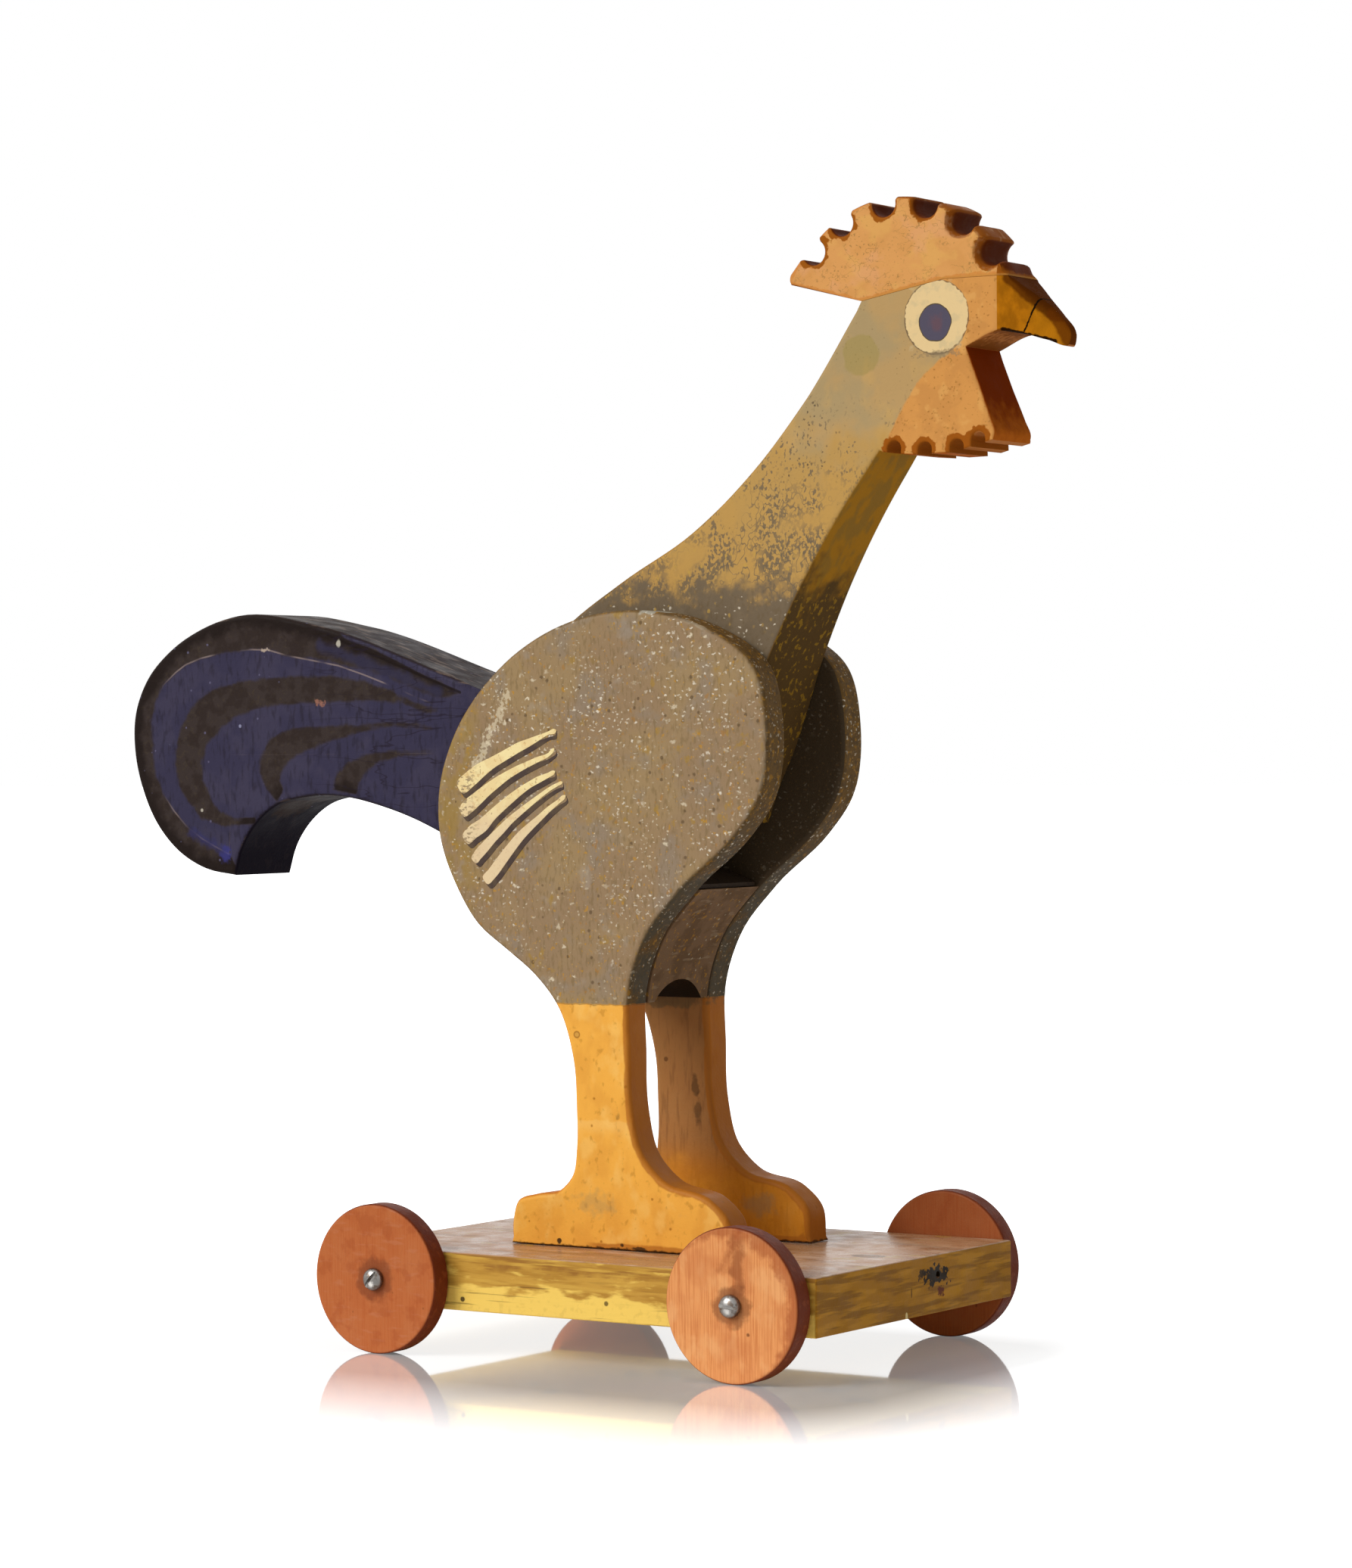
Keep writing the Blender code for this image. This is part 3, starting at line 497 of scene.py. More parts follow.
            rise = surface.add(
                "MapRange",
                inputs={
                    "Value": split.outputs[layer.lift.axis], 1: layer.lift.start, 2: layer.lift.end,
                    3: 0.0, 4: layer.lift_by,
                },
            ).outputs[0]
            value = surface.add("Math", inputs={0: value, 1: rise}).outputs[0]
        if layer.pattern not in (ALL, FLECKS):
            value = surface.add(
                "MapRange", SMOOTH,
                {"Value": value, 1: layer.low, 2: layer.high, 3: 0.0, 4: 1.0},
            ).outputs[0]
        if layer.clusters:
            patches = surface.add(
                "TexNoise", inputs={"Vector": shifted, "Scale": 1 / layer.clusters, "Detail": 1.0}
            ).outputs["Fac"]
            patched = surface.add(
                "MapRange", SMOOTH, {"Value": patches, 1: 0.38, 2: 0.58}
            ).outputs[0]
            value = surface.add("Math", "MULTIPLY", {0: value, 1: patched}).outputs[0]
        if layer.walls:
            across = surface.add(
                "VectorMath", "DOT_PRODUCT", {0: normal, 1: (0.0, 1.0, 0.0)}
            ).outputs["Value"]
            flat = surface.add("Math", "ABSOLUTE", {0: across}).outputs[0]
            turned = surface.add("MapRange", inputs={"Value": flat, 1: 0.92, 2: 0.6}).outputs[0]
            value = surface.add("Math", "MULTIPLY", {0: value, 1: turned}).outputs[0]
        if layer.within:
            inside = surface.add("Attribute", {"attribute_name": layer.within}).outputs["Fac"]
            soft = surface.add("MapRange", inputs={"Value": inside, 1: -0.3, 2: 0.3}).outputs[0]
            value = surface.add("Math", "MULTIPLY", {0: value, 1: soft}).outputs[0]
        for ramp in layer.ramps:
            along = surface.add("Math", inputs={0: split.outputs[ramp.axis], 1: fray}).outputs[0]
            rise = surface.add(
                "MapRange", SMOOTH,
                {"Value": along, 1: ramp.start, 2: ramp.end, 3: 0.0, 4: 1.0},
            ).outputs[0]
            value = surface.add("Math", "MULTIPLY", {0: value, 1: rise}).outputs[0]
        return surface.add("Math", "MULTIPLY", {0: value, 1: layer.amount}).outputs[0]


# Old oil paint on sawn pine: chalky taupe with ochre showing through and pale spatter, amber legs
FINE = Relief(1.2, 0.1, 3.0)
BROAD = Relief(9.0, 0.25)
# Only the faces towards the gap between the boards, and the places that have a paint of their own; on the body
# it carries painted shade
POCKET = (3000.0, 23.2, 3000.0)
LEG = Ramp("Z", 139.9, 139.5)
NECK_FOOT = Ramp("Z", 318.0, 296.0)
BEAK = Ramp("X", 199.8, 200.2)
HOOK = Ramp("X", -173.4, -174.4)
PLANK_END = Ramp("X", 153.2, 153.8)
PLANK_FACE = Ramp("Z", 41.0, 41.4)
REAR_WHEELS = Ramp("X", 60.0, 0.0)
BODY_PAINT = Finish(
    "weathered_taupe_oil_paint",
    "#947a5b",
    (
        Layer("#a2885c", size=40.0, low=0.45, high=0.62, amount=0.5),
        Layer("#8c7d6c", size=17.0, low=0.5, high=0.66, amount=0.6, seed=31.0),
        Layer("#77623f", size=(1.4, 4.0, 4.0), low=0.48, high=0.68, amount=0.5, seed=7.0),
        Layer(
            "#9a7c3a", size=(8.0, 8.0, 12.0), low=0.4, high=0.6, amount=0.65,
            ramps=(Ramp("X", -22.0, -42.0), Ramp("Z", 160.0, 190.0)), seed=17.0,
        ),
        Layer("#a27e30", size=(4.6, 4.6, 6.0), low=0.6, high=0.68, amount=0.6, clusters=30.0, seed=11.0),
        Layer("#a37334", size=(3.6, 3.6, 4.5), low=0.64, high=0.7, amount=0.55, seed=57.0),
        Layer("#b5842e", size=(2.2, 2.2, 2.6), low=0.64, high=0.69, amount=0.7, seed=77.0),
        Layer("#a79d90", size=10.0, low=0.6, high=0.74, amount=0.3, seed=83.0),
        Layer("#6b5029", ALL, walls=True, amount=0.95),
        Layer("#54422c", size=(2.4, 2.4, 2.4), low=0.5, high=0.62, amount=0.6, walls=True, seed=3.0),
        Layer("#a5762a", size=2.0, low=0.57, high=0.65, amount=0.7, walls=True, seed=9.0),
        Layer(
            "#4d4b40", size=14.0, low=0.3, high=0.5, amount=0.7, walls=True,
            ramps=(Ramp("Z", 225.0, 190.0), Ramp("X", 5.0, 40.0)),
        ),
        # Dark brown over the body's inner faces, in the gap between the boards: painted shade
        Layer("#34291c", SPOT, POCKET, 0.0, 1.0, 0.9),
        Layer("#5a4630", FLECKS, 5.0, 0.1, 0.2, 0.7, share=0.5, fray=0.8, seed=41.0),
        Layer("#b98f4e", FLECKS, (2.2, 2.2, 2.2), 0.1, 0.24, 0.55, share=0.5, fray=0.6, seed=66.0),
        Layer(
            "#d9cbb0", FLECKS, (1.9, 1.9, 1.5), 0.06, 0.32, 0.8, share=0.5, fray=2.2,
            clusters=18.0, seed=90.0,
        ),
        Layer(
            "#e2d7c2", FLECKS, (3.2, 3.2, 2.0), 0.06, 0.3, 0.9, share=0.55, fray=3.0,
            clusters=30.0, seed=120.0,
        ),
        Layer(
            "#dccdb0", FLECKS, (7.0, 7.0, 4.6), 0.06, 0.22, 0.85, share=0.55, fray=4.0,
            clusters=40.0, seed=150.0,
        ),
        Layer(
            "#b3a58d", AREA, area="from_edge", low=1.5, high=0.9, amount=0.55, fray=0.5, fray_size=5.0,
            clusters=24.0, ramps=(Ramp("X", 60.0, 80.0), Ramp("Z", 215.0, 235.0), Ramp("Y", -35.0, -35.6)),
        ),
        # Dark brown over the inner faces again, above the flecks: painted shade in the gap between the boards
        Layer("#4a3c2b", SPOT, POCKET, 0.0, 1.0, 0.8),
        Layer(
            "#d8c8a8", LINE, centre=(-15.5, 0.0, 263.5), end=(-33.0, 0.0, 232.0),
            low=-2.2, high=-0.6, fray=1.8, fray_size=1.6, amount=0.6,
        ),
        Layer("#b4b0a0", SPOT, (5.0, 60.0, 1.5), -0.4, 0.4, 0.7, (54.5, -29.0, 296.7), fray=0.6),
        Layer("#efac46", ALL, ramps=(LEG,), fray=0.25, rough=0.42),
        Layer("#df9a3c", size=(11.0, 11.0, 17.0), low=0.45, high=0.62, amount=0.55, ramps=(LEG,), seed=3.0),
        Layer("#f4be62", size=(9.0, 9.0, 14.0), low=0.52, high=0.68, amount=0.6, ramps=(LEG,), seed=23.0),
        Layer("#b97d28", size=(3.0, 3.0, 4.0), low=0.58, high=0.7, amount=0.5, ramps=(LEG,), seed=43.0),
        Layer("#f6c875", ALL, ramps=(Ramp("Z", 93.6, 92.6), Ramp("Z", 86.0, 92.0)), amount=0.35, fray=0.5),
        Layer("#cd7514", ALL, walls=True, ramps=(LEG,), amount=0.9),
        Layer("#aa560e", size=(6.0, 6.0, 12.0), low=0.45, high=0.62, walls=True, ramps=(LEG,), amount=0.7),
        Layer("#96855c", SPOT, (9.0, 90.0, 4.0), -2.0, 3.0, 0.35, (26.0, -36.0, 60.0), fray=2.0),
        Layer(
            "#aa7343", SPOT, POCKET, 0.0, 1.0, 0.9,
            ramps=(LEG, Ramp("Z", 58.0, 76.0)), fray=4.0, fray_size=9.0,
        ),
        Layer(
            "#80532e", MOTTLE, (2.0, 2.0, 14.0), 0.5, 0.66, 0.4,
            ramps=(LEG, Ramp("Y", 23.5, 22.5), Ramp("Y", 0.0, 5.0)), seed=71.0,
        ),
        Layer("#cd7d18", SPOT, POCKET, 0.0, 1.0, 0.75, ramps=(Ramp("Z", 84.0, 66.0),)),
        Layer(
            "#b56d24", AREA, area="from_edge", low=2.8, high=1.9, amount=0.85, fray=0.35, fray_size=7.0,
            ramps=(LEG, Ramp("X", 20.0, 28.0)),
        ),
        Layer("#5d4022", SPOT, (1.9, 50.0, 4.0), -0.5, 0.6, 0.7, (35.9, 22.0, 103.2), fray=0.6),
        Layer("#5d4022", SPOT, (1.5, 50.0, 6.0), -0.5, 0.6, 0.6, (37.2, 22.0, 93.0), fray=0.6),
        Layer("#6d4420", SPOT, (1.1, 50.0, 1.1), -0.3, 0.3, 0.8, (21.7, 22.0, 113.7), fray=0.2),
        Layer("#5d5236", SPOT, (20.0, 50.0, 4.0), -0.5, 1.5, 0.6, (24.0, 22.0, 139.0), fray=1.0),
        Layer("#857a62", SPOT, (9.0, 50.0, 6.0), -1.0, 4.0, 0.4, (67.0, 22.0, 56.0), fray=1.5),
        Layer("#3a2410", SPOT, (1.2, 30.0, 1.2), -0.3, 0.2, 0.95, (8.5, -36.0, 44.0), fray=0.4),
        Layer("#3a2410", SPOT, (0.9, 30.0, 0.8), -0.3, 0.2, 0.95, (39.2, -36.0, 43.6), fray=0.3),
        Layer("#3a2410", SPOT, (2.6, 30.0, 0.7), -0.3, 0.2, 0.9, (46.5, -36.0, 42.6), fray=0.5),
        Layer("#9a6424", SPOT, (1.6, 30.0, 1.5), -0.2, 0.2, 0.8, (17.8, -36.0, 127.2)),
        Layer("#d9a24a", SPOT, (1.0, 30.0, 0.9), -0.2, 0.2, 0.8, (17.8, -36.0, 127.2)),
        Layer("#a8671c", FLECKS, 6.0, 0.08, 0.15, 0.8, share=0.4, fray=0.6, ramps=(LEG,)),
        Layer("#6b4a2a", ALL, ramps=(Ramp("Z", 139.0, 139.6), LEG), amount=0.6, fray=0.25),
        Layer("#3a2512", ALL, ramps=(Ramp("Z", 42.8, 42.0),), amount=0.85, fray=0.4, fray_size=3.0),
    ),
    rough=0.6,
    specular=0.07,
    relief=(FINE, BROAD),
)
SALMON_EDGE = {"area": "salmon", "low": -0.6, "high": 0.6, "fray": 0.3, "fray_size": 5.0}
UNDER_BEAK = (0.0, 0.0, -1.0)
NECK_PAINT = Finish(
    "weathered_olive_oil_paint",
    "#b89663",
    (
        Layer("#a7926a", size=22.0, low=0.42, high=0.6, amount=0.75),
        Layer("#c8a060", size=(12.0, 12.0, 16.0), low=0.5, high=0.66, amount=0.5, seed=13.0),
        Layer("#bd924c", ALL, ramps=(Ramp("Z", 372.0, 348.0),), fray=9.0, fray_size=14.0, amount=0.75),
        Layer(
            "#6c604f", size=(1.3, 1.3, 1.8), low=0.6, high=0.68, amount=0.8, detail=1.5,
            lift=Ramp("Z", 362.0, 302.0), lift_by=0.2, clusters=14.0, seed=5.0,
            ramps=(Ramp("Z", 384.0, 362.0),),
        ),
        Layer(
            "#6c604f", VEINS, (3.2, 3.2, 4.0), 0.46, 0.49, 0.75, detail=1.0, clusters=20.0,
            ramps=(Ramp("Z", 352.0, 335.0),), seed=61.0,
        ),
        Layer(
            "#564a3c", FLECKS, 2.0, 0.12, 0.32, 0.85, share=0.7, fray=1.6, clusters=8.0,
            ramps=(Ramp("Z", 342.0, 350.0), Ramp("Z", 384.0, 376.0), Ramp("X", 138.0, 124.0)),
        ),
        Layer(
            "#6f5a3c", FLECKS, 1.9, 0.06, 0.24, 0.6, share=0.35, fray=1.2, clusters=20.0,
            seed=27.0,
        ),
        Layer("#756550", ALL, ramps=(Ramp("Z", 312.0, 298.0),), fray=7.0, fray_size=8.0),
        Layer(
            "#82715a", size=9.0, low=0.5, high=0.66, amount=0.5, ramps=(Ramp("Z", 309.0, 294.0),),
        ),
        Layer(
            "#6d5b42", size=(1.6, 1.6, 3.0), low=0.5, high=0.68, amount=0.5, ramps=(Ramp("Z", 312.0, 300.0),),
        ),
        Layer(
            "#c09a4c", FLECKS, (3.2, 3.2, 3.6), 0.14, 0.28, 0.8, share=0.6, fray=1.2,
            ramps=(Ramp("Z", 284.0, 300.0), Ramp("Z", 325.0, 312.0)), seed=12.0,
        ),
        Layer(
            "#dfd2bb", FLECKS, (2.8, 2.8, 1.9), 0.08, 0.28, 0.85, share=0.45, fray=2.4,
            clusters=15.0, ramps=(Ramp("Z", 318.0, 300.0),), seed=44.0,
        ),
        Layer("#a87521", ALL, walls=True),
        Layer("#8a6a30", size=(8.0, 8.0, 16.0), low=0.45, high=0.6, walls=True, amount=0.7),
        Layer(
            "#5c4526", ALL, walls=True, ramps=(NECK_FOOT,), fray=8.0, fray_size=9.0,
        ),
        Layer(
            "#a27a26", size=(2.6, 2.6, 2.6), low=0.56, high=0.64, walls=True, amount=0.7,
            ramps=(NECK_FOOT,), seed=8.0,
        ),
        Layer("#d2934e", AREA, **SALMON_EDGE),
        Layer("#c08548", size=8.0, low=0.45, high=0.62, amount=0.5, within="salmon", seed=2.0),
        Layer("#dda45c", size=6.0, low=0.55, high=0.68, amount=0.6, within="salmon", seed=22.0),
        Layer(
            "#95622e", FLECKS, 1.9, 0.06, 0.3, 0.7, share=0.55, fray=1.6,
            clusters=14.0, within="salmon", seed=33.0,
        ),
        Layer(
            "#9a6a30", size=(1.5, 1.5, 1.3), low=0.6, high=0.68, amount=0.6, clusters=9.0, within="salmon",
            seed=37.0,
        ),
        Layer("#bc631a", ALL, walls=True, within="salmon"),
        Layer(
            "#803005", ALL, walls=True, within="salmon", fray=3.0,
            ramps=(Ramp("Z", 358.0, 378.0), Ramp("X", 150.0, 180.0)),
        ),
        Layer("#9a5416", AREA, area="notch", low=-1.3, high=-0.7, fray=0.6, fray_size=3.0),
        Layer("#c27711", ALL, ramps=(BEAK,)),
        Layer(
            "#8a520a", size=(6.0, 6.0, 10.0), low=0.4, high=0.6, amount=0.6, ramps=(BEAK,),
        ),
        Layer("#c07a12", ALL, ramps=(Ramp("X", 210.0, 214.0),), amount=0.6, fray=1.0),
        Layer("#5c2c06", ALL, walls=True, ramps=(Ramp("X", 201.0, 203.0),), amount=0.95),
        Layer(
            "#5c2c06", LINE, centre=(206.0, 0.0, 421.0), end=(221.0, 0.0, 407.4), low=-4.2, high=-3.0,
            fray=0.3, amount=0.85,
        ),
        Layer(
            "#6a3306", LINE, centre=(221.0, 0.0, 407.4), end=(226.5, 0.0, 397.0), low=-4.2, high=-3.0,
            fray=0.3, amount=0.85,
        ),
        Layer("#b9743c", FACING, centre=UNDER_BEAK, low=0.5, high=0.7, ramps=(Ramp("X", 184.0, 190.0),)),
        Layer(
            "#1d1109", LINE, centre=(214.6, 0.0, 413.0), end=(209.7, 0.0, 400.4),
            low=-0.42, high=-0.2, fray=0.12, fray_size=1.0,
        ),
        Layer(
            "#2b1608", LINE, centre=(202.0, 0.0, 401.2), end=(220.5, 0.0, 396.2),
            low=-1.2, high=-0.7, fray=0.2, fray_size=2.0,
        ),
        Layer(
            "#7b4212", LINE, centre=(187.0, 0.0, 395.6), end=(201.0, 0.0, 401.2),
            low=-0.6, high=-0.2, fray=0.15, fray_size=2.0, amount=0.8,
        ),
        Layer("#6b5a45", SPOT, (14.8, 60.0, 14.8), -0.2, 0.1, 0.8, (173.3, 0.0, 407.5), fray=0.15),
        Layer(
            "#e3c58f", SPOT, (14.4, 60.0, 14.3), -0.2, 0.1, 1.0, (173.3, 0.0, 407.7), fray=0.3, fray_size=2.0,
        ),
        Layer(
            "#c9b58a", MOTTLE, (4.0, 4.0, 4.0), 0.52, 0.68, 0.5,
            ramps=(Ramp("X", 160.5, 161.5), Ramp("X", 186.0, 185.0), Ramp("Z", 394.5, 395.5)),
        ),
        Layer(
            "#8e7a5c", SPOT, (10.0, 60.0, 1.3), -0.2, 0.5, 0.6, (173.5, 0.0, 393.4), fray=0.7, fray_size=1.4,
            ramps=(Ramp("X", 186.0, 183.0),),
        ),
        Layer("#2c231f", SPOT, (7.4, 60.0, 7.6), -0.15, 0.1, 0.9, (172.7, 0.0, 405.5), fray=0.15),
        Layer("#575160", SPOT, (7.0, 60.0, 7.2), -0.15, 0.1, 1.0, (172.7, 0.0, 405.5), fray=0.15),
        Layer("#6b4f55", SPOT, (3.4, 60.0, 3.8), -1.0, 2.0, 0.7, (172.7, 0.0, 405.4), fray=1.0),
        Layer("#a08c50", SPOT, (8.5, 60.0, 8.5), -0.4, 0.8, 0.6, (139.0, 0.0, 395.0), fray=0.5),
    ),
    specular=0.004,
    relief=(FINE, BROAD),
)
COMB_FOOT = ((139.5, 0.0, 415.9), (176.5, 0.0, 422.3), (204.0, 0.0, 422.1))
COMB_PAINT = Finish(
    "worn_salmon_oil_paint",
    "#d89a58",
    (
        Layer("#cf9250", size=11.0, low=0.45, high=0.62, amount=0.6),
        Layer("#dca65a", size=(14.0, 14.0, 9.0), low=0.52, high=0.66, amount=0.6, seed=4.0),
        Layer("#dc9f6c", size=12.0, low=0.52, high=0.66, amount=0.6, seed=14.0),
        Layer(
            "#a87a40", FLECKS, (1.7, 1.7, 1.7), 0.06, 0.28, 0.7, share=0.45, fray=1.6, clusters=14.0,
        ),
        Layer("#8f6d3c", size=(1.4, 1.4, 1.2), low=0.6, high=0.68, amount=0.6, clusters=15.0, seed=6.0),
        Layer("#8f6d3c", VEINS, (6.0, 6.0, 4.0), 0.485, 0.497, 0.5, clusters=12.0, seed=16.0),
        Layer("#c97a30", AREA, area="from_edge", low=1.6, high=0.9, amount=0.6, fray=0.4, fray_size=3.0),
        Layer("#9a5510", AREA, area="notch", low=-0.9, high=-0.4, fray=0.8, fray_size=4.0),
        Layer("#955014", ALL, walls=True, amount=0.95),
        Layer("#b98458", size=(5.0, 4.0, 5.0), low=0.52, high=0.66, walls=True, amount=0.6, seed=5.0),
        # Dark maroon on the walls inside the notches: painted shade in the recesses
        Layer("#5c2308", AREA, area="notch", low=0.5, high=1.1, walls=True, amount=0.9),
        Layer("#9a5410", ALL, ramps=(BEAK,)),
        Layer("#5c2308", SPOT, (8.0, 17.0, 3.4), -0.6, 0.8, 0.9, (204.0, 2.0, 426.5), fray=0.4, walls=True),
        *(
            Layer("#c2873f", LINE, centre=start, end=end, low=-0.9, high=-0.3, amount=0.6)
            for start, end in zip(COMB_FOOT, COMB_FOOT[1:])
        ),
    ),
    specular=0.03,
    relief=(FINE,),
)
TAIL_PAINT = Finish(
    "brushed_blue_oil_paint",
    "#383449",
    (
        Layer("#413c4f", size=14.0, low=0.45, high=0.62, amount=0.7),
        Layer("#28232d", size=(2.0, 2.0, 7.0), low=0.48, high=0.7, amount=0.6, seed=8.0),
        Layer("#3a302a", AREA, area="bands", low=-1.1, high=1.0, fray=0.5, fray_size=6.0, amount=0.92),
        Layer("#463b2e", size=1.4, low=0.55, high=0.68, amount=0.45, within="bands", seed=15.0),
        Layer("#2b211d", size=5.0, low=0.42, high=0.6, amount=0.6, within="bands", seed=25.0),
        Layer(
            "#1f1714", AREA, area="from_edge", low=8.5, high=3.5, amount=0.85, within="bands",
            fray=1.5, fray_size=7.0,
        ),
        Layer(
            "#323048", LINE, centre=(-124.0, 0.0, 286.0), end=(-62.0, 0.0, 266.0), low=-4.0, high=-0.8,
            amount=0.7, fray=1.0, fray_size=9.0,
        ),
        Layer(
            "#1d1513", LINE, centre=(-120.0, 0.0, 290.5), end=(-50.0, 0.0, 265.5),
            low=-0.8, high=-0.3, amount=0.8,
        ),
        Layer("#2f2420", ALL, walls=True, amount=0.9),
        # Pale streaks on the edges, stretched along X: painted sheen
        Layer("#8f7a6c", size=(16.0, 3.0, 4.0), low=0.55, high=0.66, amount=0.45, walls=True, seed=35.0),
        Layer(
            "#17131f", ALL, walls=True, amount=0.95, ramps=(Ramp("Z", 228.0, 216.0), Ramp("X", -185.0, -171.5)),
        ),
        # Dark brown over the tongue held between the side boards: painted shade of the gap
        Layer("#43362a", ALL, ramps=(Ramp("X", -24.0, -18.0),)),
        Layer("#3d2f26", SPOT, (9.0, 11.0, 9.0), -2.0, 2.0, 0.6, (-150.0, -5.0, 218.0), fray=2.0),
        Layer(
            "#a08c84", EDGE, area="scratch", low=-0.5, high=-0.15, amount=0.5, clusters=14.0,
            ramps=(Ramp("X", -215.0, -200.0), Ramp("X", -62.0, -70.0)),
        ),
        Layer(
            "#3b3a78", SPOT, (3.4, 40.0, 3.6), -1.5, 1.8, 0.8, (-176.5, -20.0, 198.0), fray=1.2,
            fray_size=2.5, ramps=(HOOK,),
        ),
        Layer(
            "#363560", LINE, centre=(-196.0, 0.0, 207.0), end=(-178.0, 0.0, 199.0), low=-3.4, high=0.4,
            amount=0.6, fray=1.0, ramps=(HOOK,),
        ),
        Layer(
            "#9a6a58", SPOT, (2.4, 40.0, 1.2), -0.6, 0.8, 0.8, (-124.5, -20.0, 262.0), fray=1.0, fray_size=2.0,
        ),
        Layer(
            "#b8a593", SPOT, (2.0, 40.0, 0.6), -0.3, 0.3, 0.8, (-154.5, -20.0, 284.8), fray=0.4, fray_size=2.0,
        ),
        Layer("#b8b0a0", SPOT, (1.0, 40.0, 1.6), -0.3, 0.3, 0.9, (-114.0, -20.0, 287.0), fray=0.3),
        Layer("#b8b0a0", SPOT, (0.7, 40.0, 0.7), -0.3, 0.3, 0.9, (-189.8, -20.0, 216.5)),
        Layer("#8e8ea8", SPOT, (0.7, 40.0, 0.7), -0.3, 0.3, 0.9, (-168.3, -20.0, 252.5)),
        Layer("#6a6580", FLECKS, 6.0, 0.06, 0.12, 0.6, share=0.4, fray=0.5, seed=19.0),
        Layer("#241c26", VEINS, (60.0, 8.0, 9.0), 0.488, 0.498, 0.6, ramps=(Ramp("X", -150.0, -100.0),)),
    ),
    rough=0.45,
    specular=0.03,
    relief=(FINE, Relief((12.0, 3.0, 2.0), 0.08)),
)
SPACER_PAINT = Finish(
    "dull_taupe_wash",
    "#7c6044",
    (
        Layer("#664e36", size=9.0, amount=0.7),
        Layer("#9a8468", size=(3.0, 12.0, 2.0), low=0.6, high=0.7, amount=0.5, seed=5.0),
        Layer("#b5822e", size=2.0, low=0.6, high=0.68, amount=0.6, seed=9.0),
        Layer("#d0c2a6", FLECKS, (3.0, 3.0, 2.4), 0.08, 0.24, 0.6, share=0.3, fray=2.0, seed=19.0),
        # Near black on the faces turned down in the arch under the block: painted shade
        Layer(
            "#241b11", FACING, centre=(0.0, 0.0, -1.0), low=0.3, high=0.6, ramps=(Ramp("Z", 152.0, 149.0),),
        ),
    ),
    specular=0.03,
    relief=(FINE,),
)
PLANK_PAINT = Finish(
    "rubbed_yellow_oil_paint",
    "#bd8f38",
    (
        Layer("#a37426", size=(24.0, 24.0, 3.0), low=0.42, high=0.6, amount=0.75),
        Layer("#cda244", size=(30.0, 30.0, 2.4), low=0.52, high=0.64, amount=0.6, seed=4.0),
        Layer(
            "#ecc65e", size=(18.0, 18.0, 5.0), low=0.56, high=0.7, lift=Ramp("Z", 31.0, 24.0), lift_by=0.34,
            ramps=(Ramp("X", 153.6, 153.0),), seed=31.0, detail=4.0, amount=0.9,
        ),
        Layer("#d3ae50", size=3.0, low=0.52, high=0.66, amount=0.5, ramps=(Ramp("Z", 30.0, 22.0),)),
        Layer(
            "#8a5a20", size=(26.0, 26.0, 1.6), low=0.45, high=0.6, amount=0.8, ramps=(Ramp("Z", 34.5, 38.5),),
            fray=1.0,
        ),
        Layer("#4a3010", size=(40.0, 40.0, 1.2), low=0.62, high=0.7, amount=0.5, ramps=(Ramp("Z", 36.0, 30.0),)),
        Layer("#2c1b0a", SPOT, (1.0, 30.0, 1.0), -0.3, 0.2, 0.9, (-11.7, -75.0, 23.1), fray=0.2),
        Layer("#2c1b0a", SPOT, (1.0, 30.0, 0.9), -0.3, 0.2, 0.8, (57.8, -75.0, 25.7), fray=0.2),
        Layer("#ab7416", ALL, ramps=(PLANK_END,)),
        Layer(
            "#c58a22", size=(6.0, 22.0, 4.0), low=0.48, high=0.62, amount=0.7, ramps=(PLANK_END,),
        ),
        Layer(
            "#7d5210", size=(6.0, 30.0, 2.4), low=0.5, high=0.62, amount=0.7, ramps=(PLANK_END,),
            seed=12.0,
        ),
        Layer(
            "#120d08", SPOT, (30.0, 6.5, 2.6), -1.2, -0.6, 0.97, (154.0, 15.0, 33.4), fray=2.0, fray_size=2.4,
        ),
        Layer("#120d08", SPOT, (30.0, 2.4, 1.4), -0.6, 0.0, 0.9, (154.0, 4.0, 35.2), fray=0.8, fray_size=2.0),
        Layer("#5a1d12", SPOT, (30.0, 2.2, 1.5), -0.6, 0.2, 0.9, (154.0, 18.0, 26.9), fray=0.7, fray_size=1.6),
        Layer("#1d130a", SPOT, (30.0, 0.5, 2.0), -0.3, 0.1, 0.7, (154.0, -4.5, 28.5), fray=0.3),
        Layer("#f3dc9a", SPOT, (30.0, 0.8, 1.4), -0.3, 0.2, 0.9, (154.0, -8.3, 19.8), fray=0.4),
        Layer("#bf9068", FACING, centre=(0.0, 0.0, 1.0), low=0.5, high=0.8, rough=0.28),
        Layer(
            "#8e6844", MOTTLE, (30.0, 7.0, 30.0), 0.48, 0.66, 0.55, ramps=(PLANK_FACE,), seed=21.0,
        ),
        Layer(
            "#d6b79c", MOTTLE, (18.0, 5.0, 30.0), 0.56, 0.68, 0.6, ramps=(PLANK_FACE,), seed=61.0,
        ),
        Layer(
            "#c09a3c", MOTTLE, (14.0, 9.0, 30.0), 0.62, 0.68, 0.6, ramps=(PLANK_FACE,), seed=91.0,
        ),
        Layer("#5a3a1c", SPOT, (7.0, 4.6, 20.0), -0.6, 0.6, 0.75, (133.5, -3.0, 41.5), fray=0.8),
        Layer("#93683a", SPOT, (4.6, 3.0, 20.0), -0.6, 0.6, 0.8, (133.5, -3.0, 41.5), fray=0.5),
    ),
    rough=0.55,
    specular=0.16,
    relief=(FINE, Relief((30.0, 3.0, 1.6), 0.12)),
)
